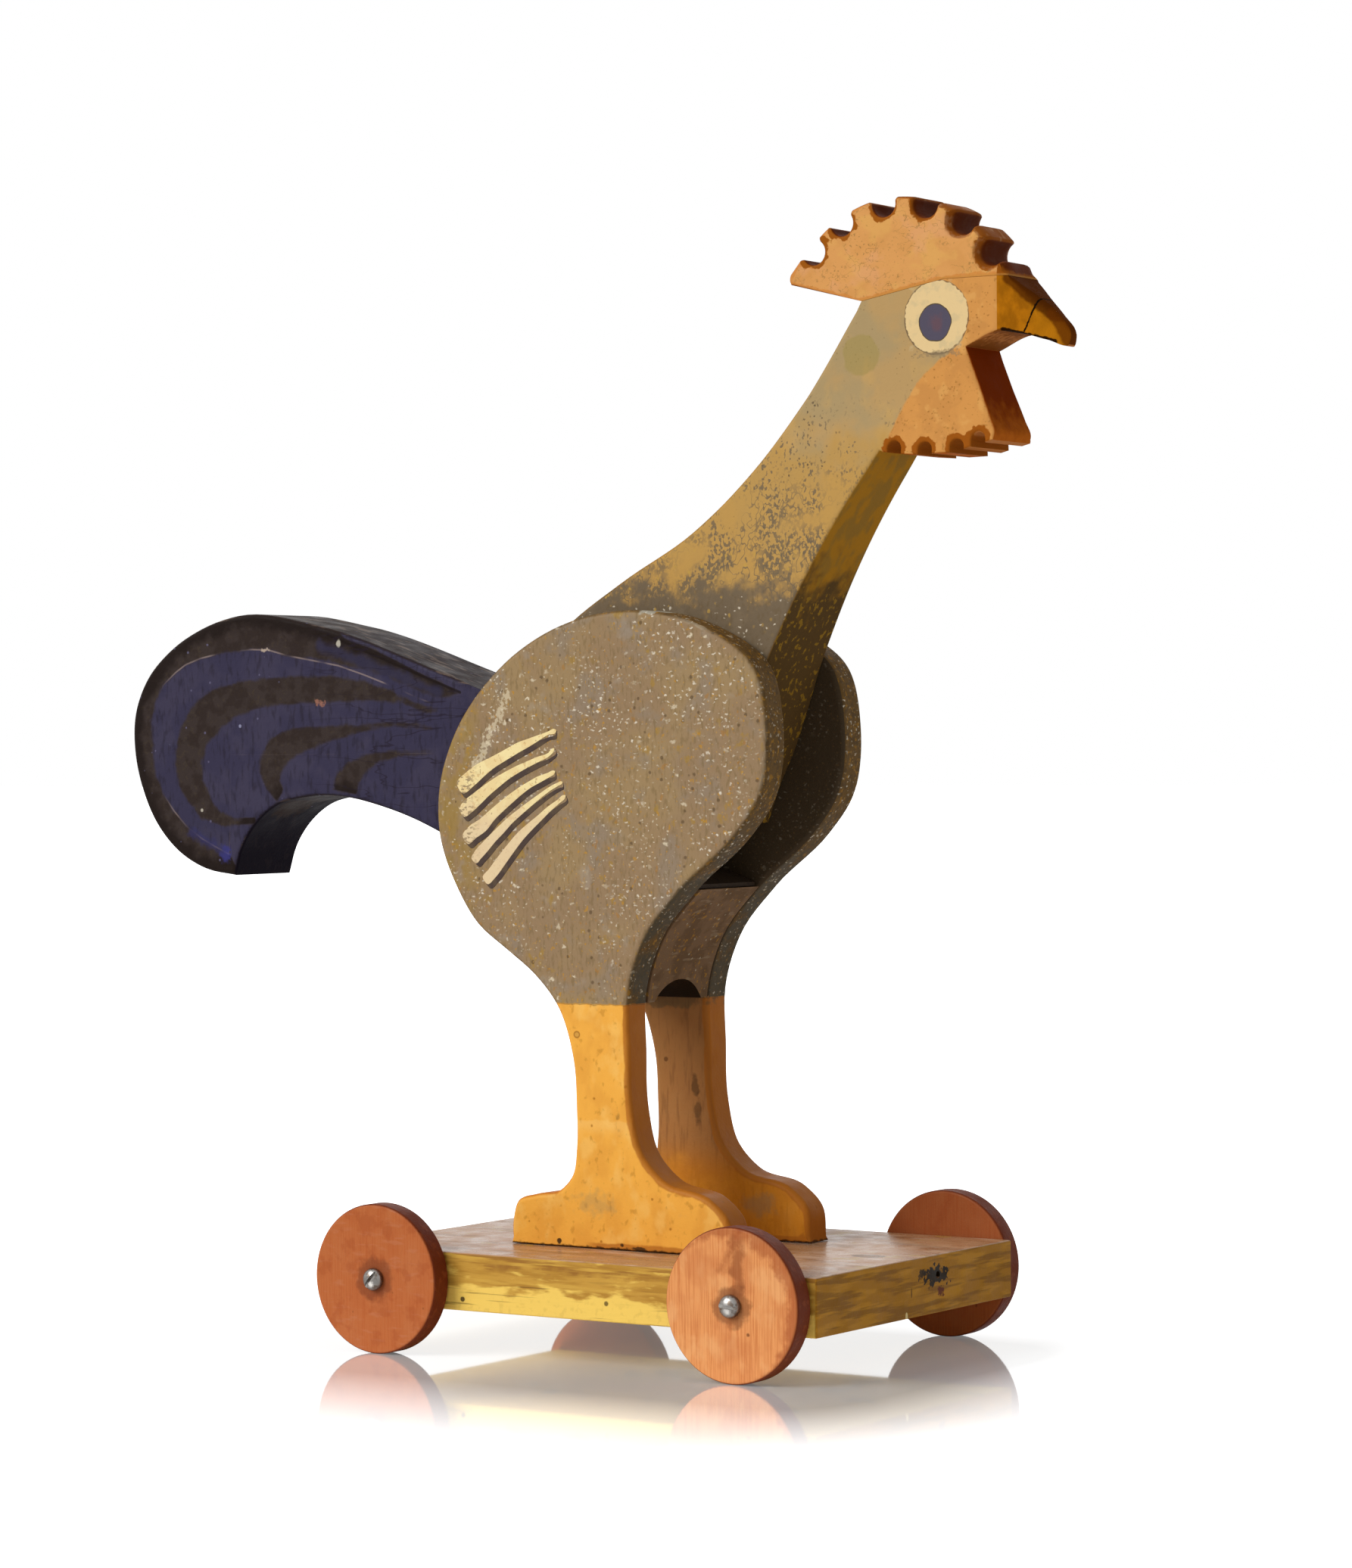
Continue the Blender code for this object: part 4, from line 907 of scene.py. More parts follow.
WHEEL_STAIN = Finish(
    "red_brown_stained_pine",
    "#dc9459",
    (
        Layer("#bd6c38", size=(0.6, 9.0, 22.0), low=0.42, high=0.66, amount=0.65, seed=6.0, detail=2.0),
        Layer("#e3a76e", size=(9.0, 9.0, 14.0), low=0.5, high=0.68, amount=0.5, seed=16.0),
        Layer("#bc6c3c", size=15.0, low=0.48, high=0.66, amount=0.4, seed=26.0),
        Layer("#c8662c", ALL, ramps=(REAR_WHEELS,), amount=0.5),
        Layer("#d8946a", size=(9.0, 9.0, 2.0), low=0.56, high=0.7, amount=0.5, ramps=(REAR_WHEELS,), seed=36.0),
        Layer("#a54f22", size=6.0, low=0.5, high=0.64, amount=0.45, ramps=(REAR_WHEELS,), seed=66.0),
        # Darker towards +Y, over the wheels of the far side: painted shade
        Layer("#8f4c25", ALL, ramps=(Ramp("Y", -60.0, 60.0),), amount=0.6),
        Layer("#8a4a26", SPOT, (3.2, 40.0, 13.0), -2.0, 2.0, 0.7, (125.0, -90.0, 46.0), fray=1.2),
        Layer(
            "#9a5028", LINE, centre=(118.0, 0.0, 44.0), end=(125.0, 0.0, 58.0), low=-3.0, high=0.0, amount=0.5,
            fray=1.0,
        ),
        Layer("#9a4a24", SPOT, (32.0, 60.0, 32.0), 5.0, 1.0, 0.6, (119.0, -85.0, 27.5), fray=1.5),
        Layer("#7a4526", SPOT, (8.0, 60.0, 8.0), -1.5, 1.5, 0.65, (122.2, -88.0, 30.0), fray=1.2),
        Layer("#7a3c20", SPOT, (8.5, 60.0, 8.5), -1.5, 1.5, 0.7, (-47.9, -88.0, 30.0), fray=1.2),
        Layer("#6a3a1c", FLECKS, 7.0, 0.06, 0.13, 0.8, share=0.4, fray=0.6, seed=46.0),
        Layer("#6e2d14", ALL, walls=True, amount=0.97),
        Layer("#8a4222", size=3.0, low=0.55, high=0.66, amount=0.6, walls=True, seed=56.0),
    ),
    rough=0.5,
    specular=0.1,
    relief=(Relief((0.9, 0.9, 8.0), 0.14, 3.0), FINE),
)
STROKE_CREAM = Finish(
    "cream_brushed_oil_paint",
    "#f1dca0",
    (
        Layer("#e6c88c", size=7.0, amount=0.6),
        Layer("#d3aa6c", size=2.0, low=0.58, high=0.68, amount=0.6, seed=3.0),
        Layer("#a98a62", size=1.4, low=0.64, high=0.7, amount=0.8, seed=13.0),
        Layer("#dcc09c", ALL, ramps=(Ramp("Z", 228.0, 205.0),), amount=0.7, fray=3.0, fray_size=6.0),
        Layer(
            "#97805f", size=(2.6, 2.6, 1.4), low=0.5, high=0.58, amount=0.9, seed=23.0, detail=4.0,
            ramps=(Ramp("X", -28.0, -36.0),),
        ),
    ),
    rough=0.5,
    relief=(Relief(1.2, 0.12, 3.0),),
)
STROKE_SHADE = Finish(
    "dark_plum_oil_paint",
    "#43332c",
    (Layer("#5c4a35", size=6.0, amount=0.6),),
    rough=0.5,
    relief=(Relief(1.2, 0.12, 3.0),),
)
SCREW_STEEL = Finish(
    "dulled_screw_steel",
    "#8d8a86",
    (Layer("#5c4a3a", size=2.0, low=0.5, high=0.65, amount=0.7),),
    rough=0.35,
    metallic=1.0,
    relief=(Relief((0.8, 0.8, 0.8), 0.05, 2.0),),
)
DOWEL_BIRCH = Finish(
    "turned_birch",
    "#d2b48c",
    (Layer("#b8935f", size=(0.8, 14.0, 0.8), amount=0.6),),
    relief=(Relief((0.8, 10.0, 0.8), 0.05, 2.0),),
)


def travel(spots: Sequence[Vector], corners: Sequence[bool], i: int, chord: Vector, closed: bool) -> Vector:
    """Finds the direction of a curve at a knot.

    Args:
        spots: The knots.
        corners: Which of them are corners.
        i: The knot's number.
        chord: The way to the next knot, used at a corner or a loose end.
        closed: Whether the curve runs back to its start.

    Returns:
        The direction, about one long.
    """
    count = len(spots)
    if corners[i] or (not closed and i in (0, count - 1)):
        return chord.normalized()
    before = spots[i] - spots[i - 1]
    after = spots[(i + 1) % count] - spots[i]
    blend = before.normalized() * after.length + after.normalized() * before.length
    return blend / (before.length + after.length)


def outline_through(knots: Sequence[tuple], closed: bool = True, longest: float = 5.0) -> list[Point]:
    """Draws a curve through knots, smooth except at corners.

    Args:
        knots: X and height of each knot, and CORNER where the curve breaks.
        closed: Whether the curve runs back to its start.
        longest: The longest stretch between two points, in mm.

    Returns:
        The points of the curve.
    """
    per_facet = math.radians(3.0)
    count = len(knots)
    spots = [Vector(knot[:2]) for knot in knots]
    corners = [len(knot) == 3 for knot in knots]
    points: list[Point] = []
    for i in range(count if closed else count - 1):
        j = (i + 1) % count
        start, end = spots[i], spots[j]
        length = (end - start).length
        out_way = travel(spots, corners, i, end - start, closed)
        in_way = travel(spots, corners, j, end - start, closed)
        turn = abs(out_way.angle_signed(end - start)) + abs(in_way.angle_signed(end - start))
        facets = max(1, math.ceil(turn / per_facet), math.ceil(length / longest))
        handles = (start, start + out_way * length / 3, end - in_way * length / 3, end)
        curve = interpolate_bezier(*(handle.to_3d() for handle in handles), facets + 1)
        points += [(p.x, p.y) for p in curve[:-1]]
    if not closed:
        points.append(tuple(spots[-1]))
    return points


def soften(points: Sequence[Point], reach: float, least: float = 40.0) -> list[Point]:
    """Rounds the corners of a line, ends excepted.

    Args:
        points: The line.
        reach: How far from a corner its rounding starts, in mm.
        least: The least turn that counts as a corner, in degrees.

    Returns:
        The line with a short curve in place of each corner.
    """
    softened = [points[0]]
    for before, corner, after in zip(points, points[1:], points[2:]):
        back, ahead = Vector(before) - Vector(corner), Vector(after) - Vector(corner)
        if math.degrees(math.pi - back.angle(ahead)) < least:
            softened.append(corner)
            continue
        start = Vector(corner) + back * min(reach / back.length, 0.9)
        end = Vector(corner) + ahead * min(reach / ahead.length, 0.9)
        inner = (start + end + Vector(corner) * 4) / 6
        handles = (start, (start + inner) / 2, (end + inner) / 2, end)
        softened += [tuple(p.xy) for p in interpolate_bezier(*(h.to_3d() for h in handles), 5)]
    return [*softened, points[-1]]


def inside_mm(places: np.ndarray, outline: Sequence[Point]) -> np.ndarray:
    """Measures how deep places lie inside a closed outline.

    Args:
        places: X and height of each place, in mm.
        outline: The points of the outline.

    Returns:
        The distance to the outline in mm, negative outside it.
    """
    nearest = np.full(len(places), 1e9)
    inside = np.zeros(len(places), bool)
    for (x0, h0), (x1, h1) in zip(outline, [*outline[1:], outline[0]]):
        nearest = np.minimum(nearest, apart_mm(places, (x0, h0), (x1, h1)))
        if h0 != h1:
            crosses = (places[:, 1] > min(h0, h1)) & (places[:, 1] <= max(h0, h1))
            at = x0 + (places[:, 1] - h0) * (x1 - x0) / (h1 - h0)
            inside ^= crosses & (places[:, 0] < at)
    return np.where(inside, nearest, -nearest)


def apart_mm(places: np.ndarray, start: Point, end: Point) -> np.ndarray:
    """Measures how far places lie from one straight stretch.

    Args:
        places: X and height of each place, in mm.
        start: Where the stretch starts.
        end: Where it ends.

    Returns:
        The distances in mm.
    """
    way = np.subtract(end, start)
    along = np.clip((places - start) @ way / max(way @ way, 1e-9), 0.0, 1.0)
    return np.linalg.norm(places - (np.array(start) + along[:, None] * way), axis=1)


def beside_mm(places: np.ndarray, line: Sequence[Point]) -> np.ndarray:
    """Measures how far places lie to the left of a line, negative to its right.

    Args:
        places: X and height of each place, in mm.
        line: The corners of the line.

    Returns:
        The distances in mm.
    """
    apart = []
    sides = []
    for start, end in zip(line, line[1:]):
        way = np.subtract(end, start)
        off = places - start
        apart.append(apart_mm(places, start, end))
        sides.append(np.sign(way[0] * off[:, 1] - way[1] * off[:, 0]))
    nearest = np.argmin(apart, axis=0)
    return (np.array(apart) * np.array(sides))[nearest, np.arange(len(places))]


def clear_selection() -> None:
    """Deselects every object, as an operator would act on all of them."""
    bpy.ops.object.select_all(action="DESELECT")


def hold(piece: Piece) -> None:
    """Selects one object alone and makes it the one that operators act on."""
    clear_selection()
    piece.select_set(True)
    bpy.context.view_layer.objects.active = piece


def trace(name: str, spots: Sequence[Triple]) -> Piece:
    """Starts a piece as a line drawn point by point, and leaves it in edit mode.

    Args:
        name: The piece's name.
        spots: The points of the line, in mm.

    Returns:
        The piece, with its object at the origin.
    """
    clear_selection()
    bpy.ops.mesh.primitive_plane_add(size=MM, location=[value * MM for value in spots[0]])
    bpy.ops.object.transform_apply()
    piece = bpy.context.object
    piece.name = piece.data.name = name
    bpy.ops.object.mode_set(mode="EDIT")
    bpy.ops.mesh.merge(type="CENTER")
    for before, after in zip(spots, spots[1:]):
        step = [(b - a) * MM for a, b in zip(before, after)]
        bpy.ops.mesh.extrude_region_move(TRANSFORM_OT_translate={"value": step})
    return piece


def close_up() -> None:
    """Joins doubled points of the held piece and turns its faces outwards."""
    bpy.ops.object.mode_set(mode="EDIT")
    bpy.ops.mesh.select_all(action="SELECT")
    bpy.ops.mesh.remove_doubles(threshold=1e-6)
    bpy.ops.mesh.normals_make_consistent(inside=False)
    bpy.ops.object.mode_set(mode="OBJECT")


def apply_modifier(piece: Piece, kind: str, **settings: object) -> None:
    """Adds a modifier to a piece and applies it.

    Args:
        piece: The piece.
        kind: The modifier's type.
        settings: Its settings.
    """
    hold(piece)
    bpy.ops.object.modifier_add(type=kind)
    modifier = piece.modifiers[-1]
    for key, value in settings.items():
        setattr(modifier, key, value)
    bpy.ops.object.modifier_apply(modifier=modifier.name)


def inset(points: Sequence[Point], amounts: Sequence[float]) -> np.ndarray:
    """Moves a closed outline inwards by an amount for each point, mitred at corners.

    Args:
        points: The outline.
        amounts: How far each point moves, in mm.

    Returns:
        The moved points. Where they would cross over, they meet between the nearest sound ones.
    """
    here = np.array(points)
    amounts = np.array(amounts)
    before = here - np.roll(here, 1, axis=0)
    after = np.roll(here, -1, axis=0) - here
    turn = 1.0 if np.sum(here[:, 0] * after[:, 1] - here[:, 1] * after[:, 0]) > 0 else -1.0
    before /= np.linalg.norm(before, axis=1)[:, None]
    after /= np.linalg.norm(after, axis=1)[:, None]
    first = np.stack((-before[:, 1], before[:, 0]), 1) * turn
    second = np.stack((-after[:, 1], after[:, 0]), 1) * turn
    spread = np.maximum(1.0 + np.sum(first * second, 1), LEAST_SPREAD)
    moved = here + (first + second) / spread[:, None] * amounts[:, None]
    if amounts.max() < 0.01:
        return moved
    sound = inside_mm(moved, points) > amounts * SOUND_SHARE - SOUND_SLACK
    standing = np.flatnonzero(sound)
    for i in np.flatnonzero(~sound):
        rank = np.searchsorted(standing, i) % len(standing)
        moved[i] = moved[standing[[rank - 1, rank]]].mean(axis=0)
    for _ in range(UNFOLD_PASSES):
        way = np.roll(moved, -1, axis=0) - moved
        for i in np.flatnonzero(np.sum(way * after, 1) < -1e-9):
            ends = [i, (i + 1) % len(moved)]
            moved[ends] = moved[ends].mean(axis=0)
    return moved


def draw_board(
    name: str,
    points: Sequence[Point],
    middle_y: float,
    thickness: float,
    insets: Sequence[float],
    drops: Sequence[float] | None = None,
    segments: int = 4,
) -> Piece:
    """Draws an outline point by point, fills it and extrudes it to a board with round arrises.

    Args:
        name: The piece's name.
        points: The closed outline, as X and height above the plank.
        middle_y: The middle of the board's thickness.
        thickness: The board's thickness.
        insets: How far the arris reaches in over the face, for each point.
        drops: How far it reaches over the edge, where that differs.
        segments: How many facets the arris has.

    Returns:
        The board, with its object at the origin.
    """
    near = middle_y - thickness / 2
    piece = trace(name, [(x, near, h + PLANK_TOP) for x, h in points])
    bpy.ops.object.mode_set(mode="OBJECT")
    select_points(piece, lambda i, co: i in (0, len(points) - 1))
    bpy.ops.mesh.edge_face_add()
    bpy.ops.mesh.select_all(action="SELECT")
    bpy.ops.mesh.edge_face_add()
    layers = 2 * segments + 1
    for _ in range(layers):
        bpy.ops.mesh.extrude_region_move(TRANSFORM_OT_translate={"value": (0.0, MM, 0.0)})
    bpy.ops.object.mode_set(mode="OBJECT")
    drops = np.array(insets if drops is None else drops)
    angles = [math.pi / 2 * k / segments for k in range(segments + 1)]
    rings = [inset(points, np.array(insets) * (1.0 - math.sin(angle))) for angle in angles]
    outline = np.array(points)
    for vert in piece.data.vertices:
        x, y, z = vert.co / MM
        i = int(np.argmin(np.hypot(outline[:, 0] - x, outline[:, 1] - z + PLANK_TOP)))
        level = round(y - near)
        k = min(level, layers - level)
        down = drops[i] * (1.0 - math.cos(angles[k]))
        side = -1.0 if level <= segments else 1.0
        ring_x, ring_h = rings[k][i]
        vert.co = Vector((ring_x, middle_y + side * (thickness / 2 - down), ring_h + PLANK_TOP)) * MM
    close_up()
    return piece


def select_points(piece: Piece, wanted: Callable[[int, Vector], bool]) -> None:
    """Goes into edit mode on a piece with only the wanted points selected.

    Args:
        piece: The piece.
        wanted: Says of a point, from its number and place, whether it is selected.
    """
    hold(piece)
    bpy.ops.object.mode_set(mode="EDIT")
    bpy.ops.mesh.select_all(action="DESELECT")
    bpy.ops.mesh.select_mode(type="VERT")
    bpy.ops.object.mode_set(mode="OBJECT")
    for vert in piece.data.vertices:
        vert.select = wanted(vert.index, vert.co)
    bpy.ops.object.mode_set(mode="EDIT")


def carve(piece: Piece, move: Callable[[Vector], Vector]) -> None:
    """Moves each point of a piece, as planing or filing it would.

    Args:
        piece: The piece.
        move: Gives the new place of a point from its old one, both in mm.
    """
    for vert in piece.data.vertices:
        vert.co = move(vert.co / MM) * MM


def saw_planes(piece: Piece, axis: Triple, places: Sequence[float]) -> None:
    """Cuts new edges where planes cross a piece, so that its surface can hold more detail.

    Args:
        piece: The piece.
        axis: The direction the planes face.
        places: Where they stand along it, in mm.
    """
    hold(piece)
    bpy.ops.object.mode_set(mode="EDIT")
    for place in places:
        bpy.ops.mesh.select_all(action="SELECT")
        bpy.ops.mesh.bisect(plane_co=Vector(axis) * place * MM, plane_no=axis, threshold=1e-6)
    bpy.ops.object.mode_set(mode="OBJECT")


def spaced(start: float, end: float, step: float) -> list[float]:
    """Gives places from start up to end, a step apart."""
    return [start + step * k for k in range(int((end - start) / step) + 1)]


def keep_distance(piece: Piece, name: str, measure: Callable[[np.ndarray], np.ndarray]) -> None:
    """Keeps a distance in mm on every point of a piece, for its paint.

    Args:
        piece: The piece.
        name: The attribute's name.
        measure: Gives the distances from X and height above the plank.
    """
    count = len(piece.data.vertices)
    places = np.empty(count * 3)
    piece.data.vertices.foreach_get("co", places)
    places = places.reshape(-1, 3)[:, (0, 2)] / MM - (0.0, PLANK_TOP)
    attribute = piece.data.attributes.new(name, "FLOAT", "POINT")
    attribute.data.foreach_set("value", measure(places))


def near_notches(places: np.ndarray, centres: Sequence[Point], reach: float) -> np.ndarray:
    """Measures how far places lie within reach of the nearest notch.

    Args:
        places: X and height of each place, in mm.
        centres: The middles of the notches.
        reach: How far from them still counts.

    Returns:
        The distances in mm, negative beyond reach.
    """
    return reach - np.min([np.linalg.norm(places - centre, axis=1) for centre in centres], axis=0)


def finish_piece(piece: Piece, finish: bpy.types.Material, angle: float = 32.0) -> None:
    """Closes doubles, turns faces outwards, shades round stretches smooth and paints the piece.

    Args:
        piece: The piece.
        finish: Its material.
        angle: The sharpest turn that still looks round, in degrees.
    """
    hold(piece)
    close_up()
    bpy.ops.object.shade_smooth_by_angle(angle=math.radians(angle))
    apply_modifier(piece, "WEIGHTED_NORMAL", keep_sharp=True)
    piece.data.materials.clear()
    piece.data.materials.append(finish)


def cut_away(piece: Piece, *cutters: Piece) -> None:
    """Cuts solids out of a piece and removes them.

    Args:
        piece: The piece.
        cutters: What to cut out of it.
    """
    for cutter in cutters:
        apply_modifier(piece, "BOOLEAN", operation="DIFFERENCE", solver="EXACT", object=cutter)
        bpy.data.objects.remove(cutter)


def rod(radius: float, depth: float, middle: Triple, turn: Triple, sides: int = 32) -> Piece:
    """Adds a plain rod to cut a bore with.

    Args:
        radius: Its radius.
        depth: Its length.
        middle: Its middle.
        turn: Its turn about X, Y and Z, from standing up.
        sides: How many flats it has.

    Returns:
        The rod.
    """
    clear_selection()
    bpy.ops.mesh.primitive_cylinder_add(
        vertices=sides, radius=radius * MM, depth=depth * MM, location=Vector(middle) * MM, rotation=turn
    )
    bpy.ops.object.transform_apply()
    return bpy.context.object


def turn_profile(name: str, profile: Sequence[Point], centre: Triple, steps: int) -> Piece:
    """Spins a half section about Y to a closed solid.

    Args:
        name: The piece's name.
        profile: Radius and place along Y of each point, from the axis or closed round a bore.
        centre: The middle of the turning.
        steps: How many facets the round has.

    Returns:
        The turned piece.
    """
    cx, cy, cz = centre
    piece = trace(name, [(cx, cy + along, cz + radius) for radius, along in profile])
    bpy.ops.mesh.select_all(action="SELECT")
    bpy.ops.mesh.spin(steps=steps, angle=2 * math.pi, center=Vector(centre) * MM, axis=(0, 1, 0))
    close_up()
    return piece


def copy_moved(piece: Piece, name: str, step: Triple, flip: bool = False) -> Piece:
    """Copies a piece with a mesh of its own, moved or mirrored across the toy.

    Args:
        piece: The piece to copy.
        name: The copy's name.
        step: How far the copy moves, in mm.
        flip: Whether it is mirrored to the toy's other side.

    Returns:
        The copy.
    """
    hold(piece)
    bpy.ops.object.duplicate(linked=False)
    copy = bpy.context.object
    copy.name = copy.data.name = name
    bpy.ops.object.mode_set(mode="EDIT")
    bpy.ops.mesh.select_all(action="SELECT")
    bpy.ops.transform.translate(value=Vector(step) * MM)
    if flip:
        bpy.ops.transform.resize(value=(1.0, -1.0, 1.0), center_override=(0.0, 0.0, 0.0))
        bpy.ops.mesh.normals_make_consistent(inside=False)
    bpy.ops.object.mode_set(mode="OBJECT")
    return copy


def worn(width: float, x: float, height: float, seed: float) -> float:
    """Gives the width of an arris at a place on a board, a little uneven with wear."""
    place = Vector((x / WEAR_SIZE, height / WEAR_SIZE, seed))
    return width * (1.0 - WEAR_SHARE / 2 + WEAR_SHARE * noise.noise(place))


def share_at(value: float, start: float, end: float, last: float) -> float:
    """Falls evenly from 1 at `start` to `last` at `end`, and holds there."""
    return 1.0 + (last - 1.0) * min(max((value - start) / (end - start), 0.0), 1.0)


def hand_over(piece: Piece, body: str, slot: str, *nodes: str) -> None:
    """Gives a piece to its body and hides the CAD nodes it stands for.

    Args:
        piece: The finished piece.
        body: The body it moves with.
        slot: Not used.
        nodes: The CAD nodes that it replaces.
    """
    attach(piece, body)
    if nodes:
        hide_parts(*nodes)
    log.info("%s: %d points, rides on %s", piece.name, len(piece.data.vertices), body)


@dataclass
class SideBoards:
    """The two outer boards, each a round body, leg and foot sawn in one piece."""

    thickness: float = 14.5
    middle_y: float = 29.25
    arris: float = 2.4
    sole_arris: float = 0.7
    sole_height: float = 1.0
    detail: float = 4.0

    def reach(self, x: float, height: float) -> float:
        """Width of the rounding at a place: uneven with wear, and fine where the foot stands."""
        return self.sole_arris if height < self.sole_height else worn(self.arris, x, height, 3.0)

    def build(self) -> None:
        """Makes the right board, copies it to the left and paints both."""
        points = outline_through(SIDE_KNOTS)
        insets = [self.reach(*point) for point in points]
        right = draw_board("painted_side_board_right", points, -self.middle_y, self.thickness, insets)
        saw_planes(right, (1, 0, 0), spaced(-52.0, 110.0, self.detail))
        saw_planes(right, (0, 0, 1), spaced(PLANK_TOP + 1.0, PLANK_TOP + 256.0, self.detail))
        keep_distance(right, "from_edge", lambda places: inside_mm(places, points))
        paint = BODY_PAINT.material()
        left = copy_moved(right, "painted_side_board_left", (0, 0, 0), flip=True)
        finish_piece(right, paint)
        finish_piece(left, paint)
        hand_over(right, "toy", "body_paint", "side_board_right")
        hand_over(left, "toy", "body_paint", "side_board_left")


@dataclass
class FeatherStrokes:
    """Cream wing feathers with a dark line under each, brushed thick on both sides."""

    face_y: float = 36.5
    proud: float = 0.25
    shade_proud: float = 0.15
    shade_width: float = 2.3
    sunk: float = 0.1
    edge_share: float = 0.8

    def outline(self, stroke: Sequence[Triple], drop: float) -> list[Point]:
        """Draws round one stroke.

        Args:
            stroke: The middle line and half width.
            drop: How far the outline is moved down across the stroke.

        Returns:
            The closed outline.
        """
        upper: list[Point] = []
        lower: list[Point] = []
        for i, (x, h, half) in enumerate(stroke):
            before, after = stroke[max(i - 1, 0)], stroke[min(i + 1, len(stroke) - 1)]
            way = Vector((after[0] - before[0], after[1] - before[1])).normalized()
            side = Vector((-way.y, way.x))
            middle = Vector((x, h)) - side * drop
            upper.append(tuple(middle + side * half))
            lower.append(tuple(middle - side * half))
        tip = Vector(stroke[-1][:2]) + way * stroke[-1][2]
        return outline_through([*upper, tuple(tip), *lower[::-1]], longest=2.0)

    def build(self) -> None:
        """Makes the strokes and their shade on both sides of the toy."""
        cream, shade = STROKE_CREAM.material(), STROKE_SHADE.material()
        for label, paint, proud, drop in (
            ("feather_shade", shade, self.shade_proud, self.shade_width),
            ("feather_stroke", cream, self.proud, 0.0),
        ):
            parts = []
            for i, stroke in enumerate(FEATHER_STROKES):
                points = self.outline(stroke, drop)
                middle = self.sunk / 2 - self.face_y
                depth = proud * 2 + self.sunk
                insets = [proud * self.edge_share] * len(points)
                parts.append(draw_board(f"{label}_{i}", points, middle, depth, insets, segments=2))
            clear_selection()
            for part in parts:
                part.select_set(True)
            bpy.context.view_layer.objects.active = parts[0]
            bpy.ops.object.join()
            right = bpy.context.object
            right.name = right.data.name = f"{label}s_right"
            left = copy_moved(right, f"{label}s_left", (0, 0, 0), flip=True)
            for piece in (right, left):
                finish_piece(piece, paint)
                hand_over(piece, "toy", "body_paint")


@dataclass
class LegSpacer:
    """The block between the thighs, with the arch between the legs under it."""

    thickness: float = 43.4
    bottom: float = 98.4
    top: float = 144.0
    arch_half_width: float = 17.0
    arch_height: float = 8.5

    def outline(self) -> list[Point]:
        """Takes the stretch of the body's outline between the block's bottom and top.

        Returns:
            The closed outline.
        """
        rows = outline_through(SIDE_KNOTS)
        crown = max(range(len(rows)), key=lambda i: rows[i][1])
        back = self.between(rows[: crown + 1])
        return back + self.between(rows[crown:])

    def between(self, points: Sequence[Point]) -> list[Point]:
        """Cuts a line off at the block's bottom and top.

        Args:
            points: The line.

        Returns:
            The stretch that is left.
        """
        kept: list[Point] = []
        for (x0, h0), (x1, h1) in zip(points, points[1:]):
            for level in sorted((self.bottom, self.top), reverse=h1 < h0):
                if min(h0, h1) < level <= max(h0, h1):
                    kept.append((x0 + (level - h0) / (h1 - h0) * (x1 - x0), level))
            if self.bottom < h1 < self.top:
                kept.append((x1, h1))
        return kept

    def build(self) -> None:
        """Makes the block and cuts its arch."""
        points = self.outline()
        piece = draw_board("painted_leg_spacer", points, 0.0, self.thickness, [SEAT] * len(points), segments=2)
        radius = (self.arch_half_width**2 + self.arch_height**2) / (2 * self.arch_height)
        middle = (16.0, 0.0, PLANK_TOP + self.bottom + self.arch_height - radius)
        cut_away(piece, rod(radius, 260.0, middle, (0.0, math.pi / 2, 0.0), 128))
        finish_piece(piece, SPACER_PAINT.material())
        hand_over(piece, "toy", "spacer_paint", "leg_spacer")


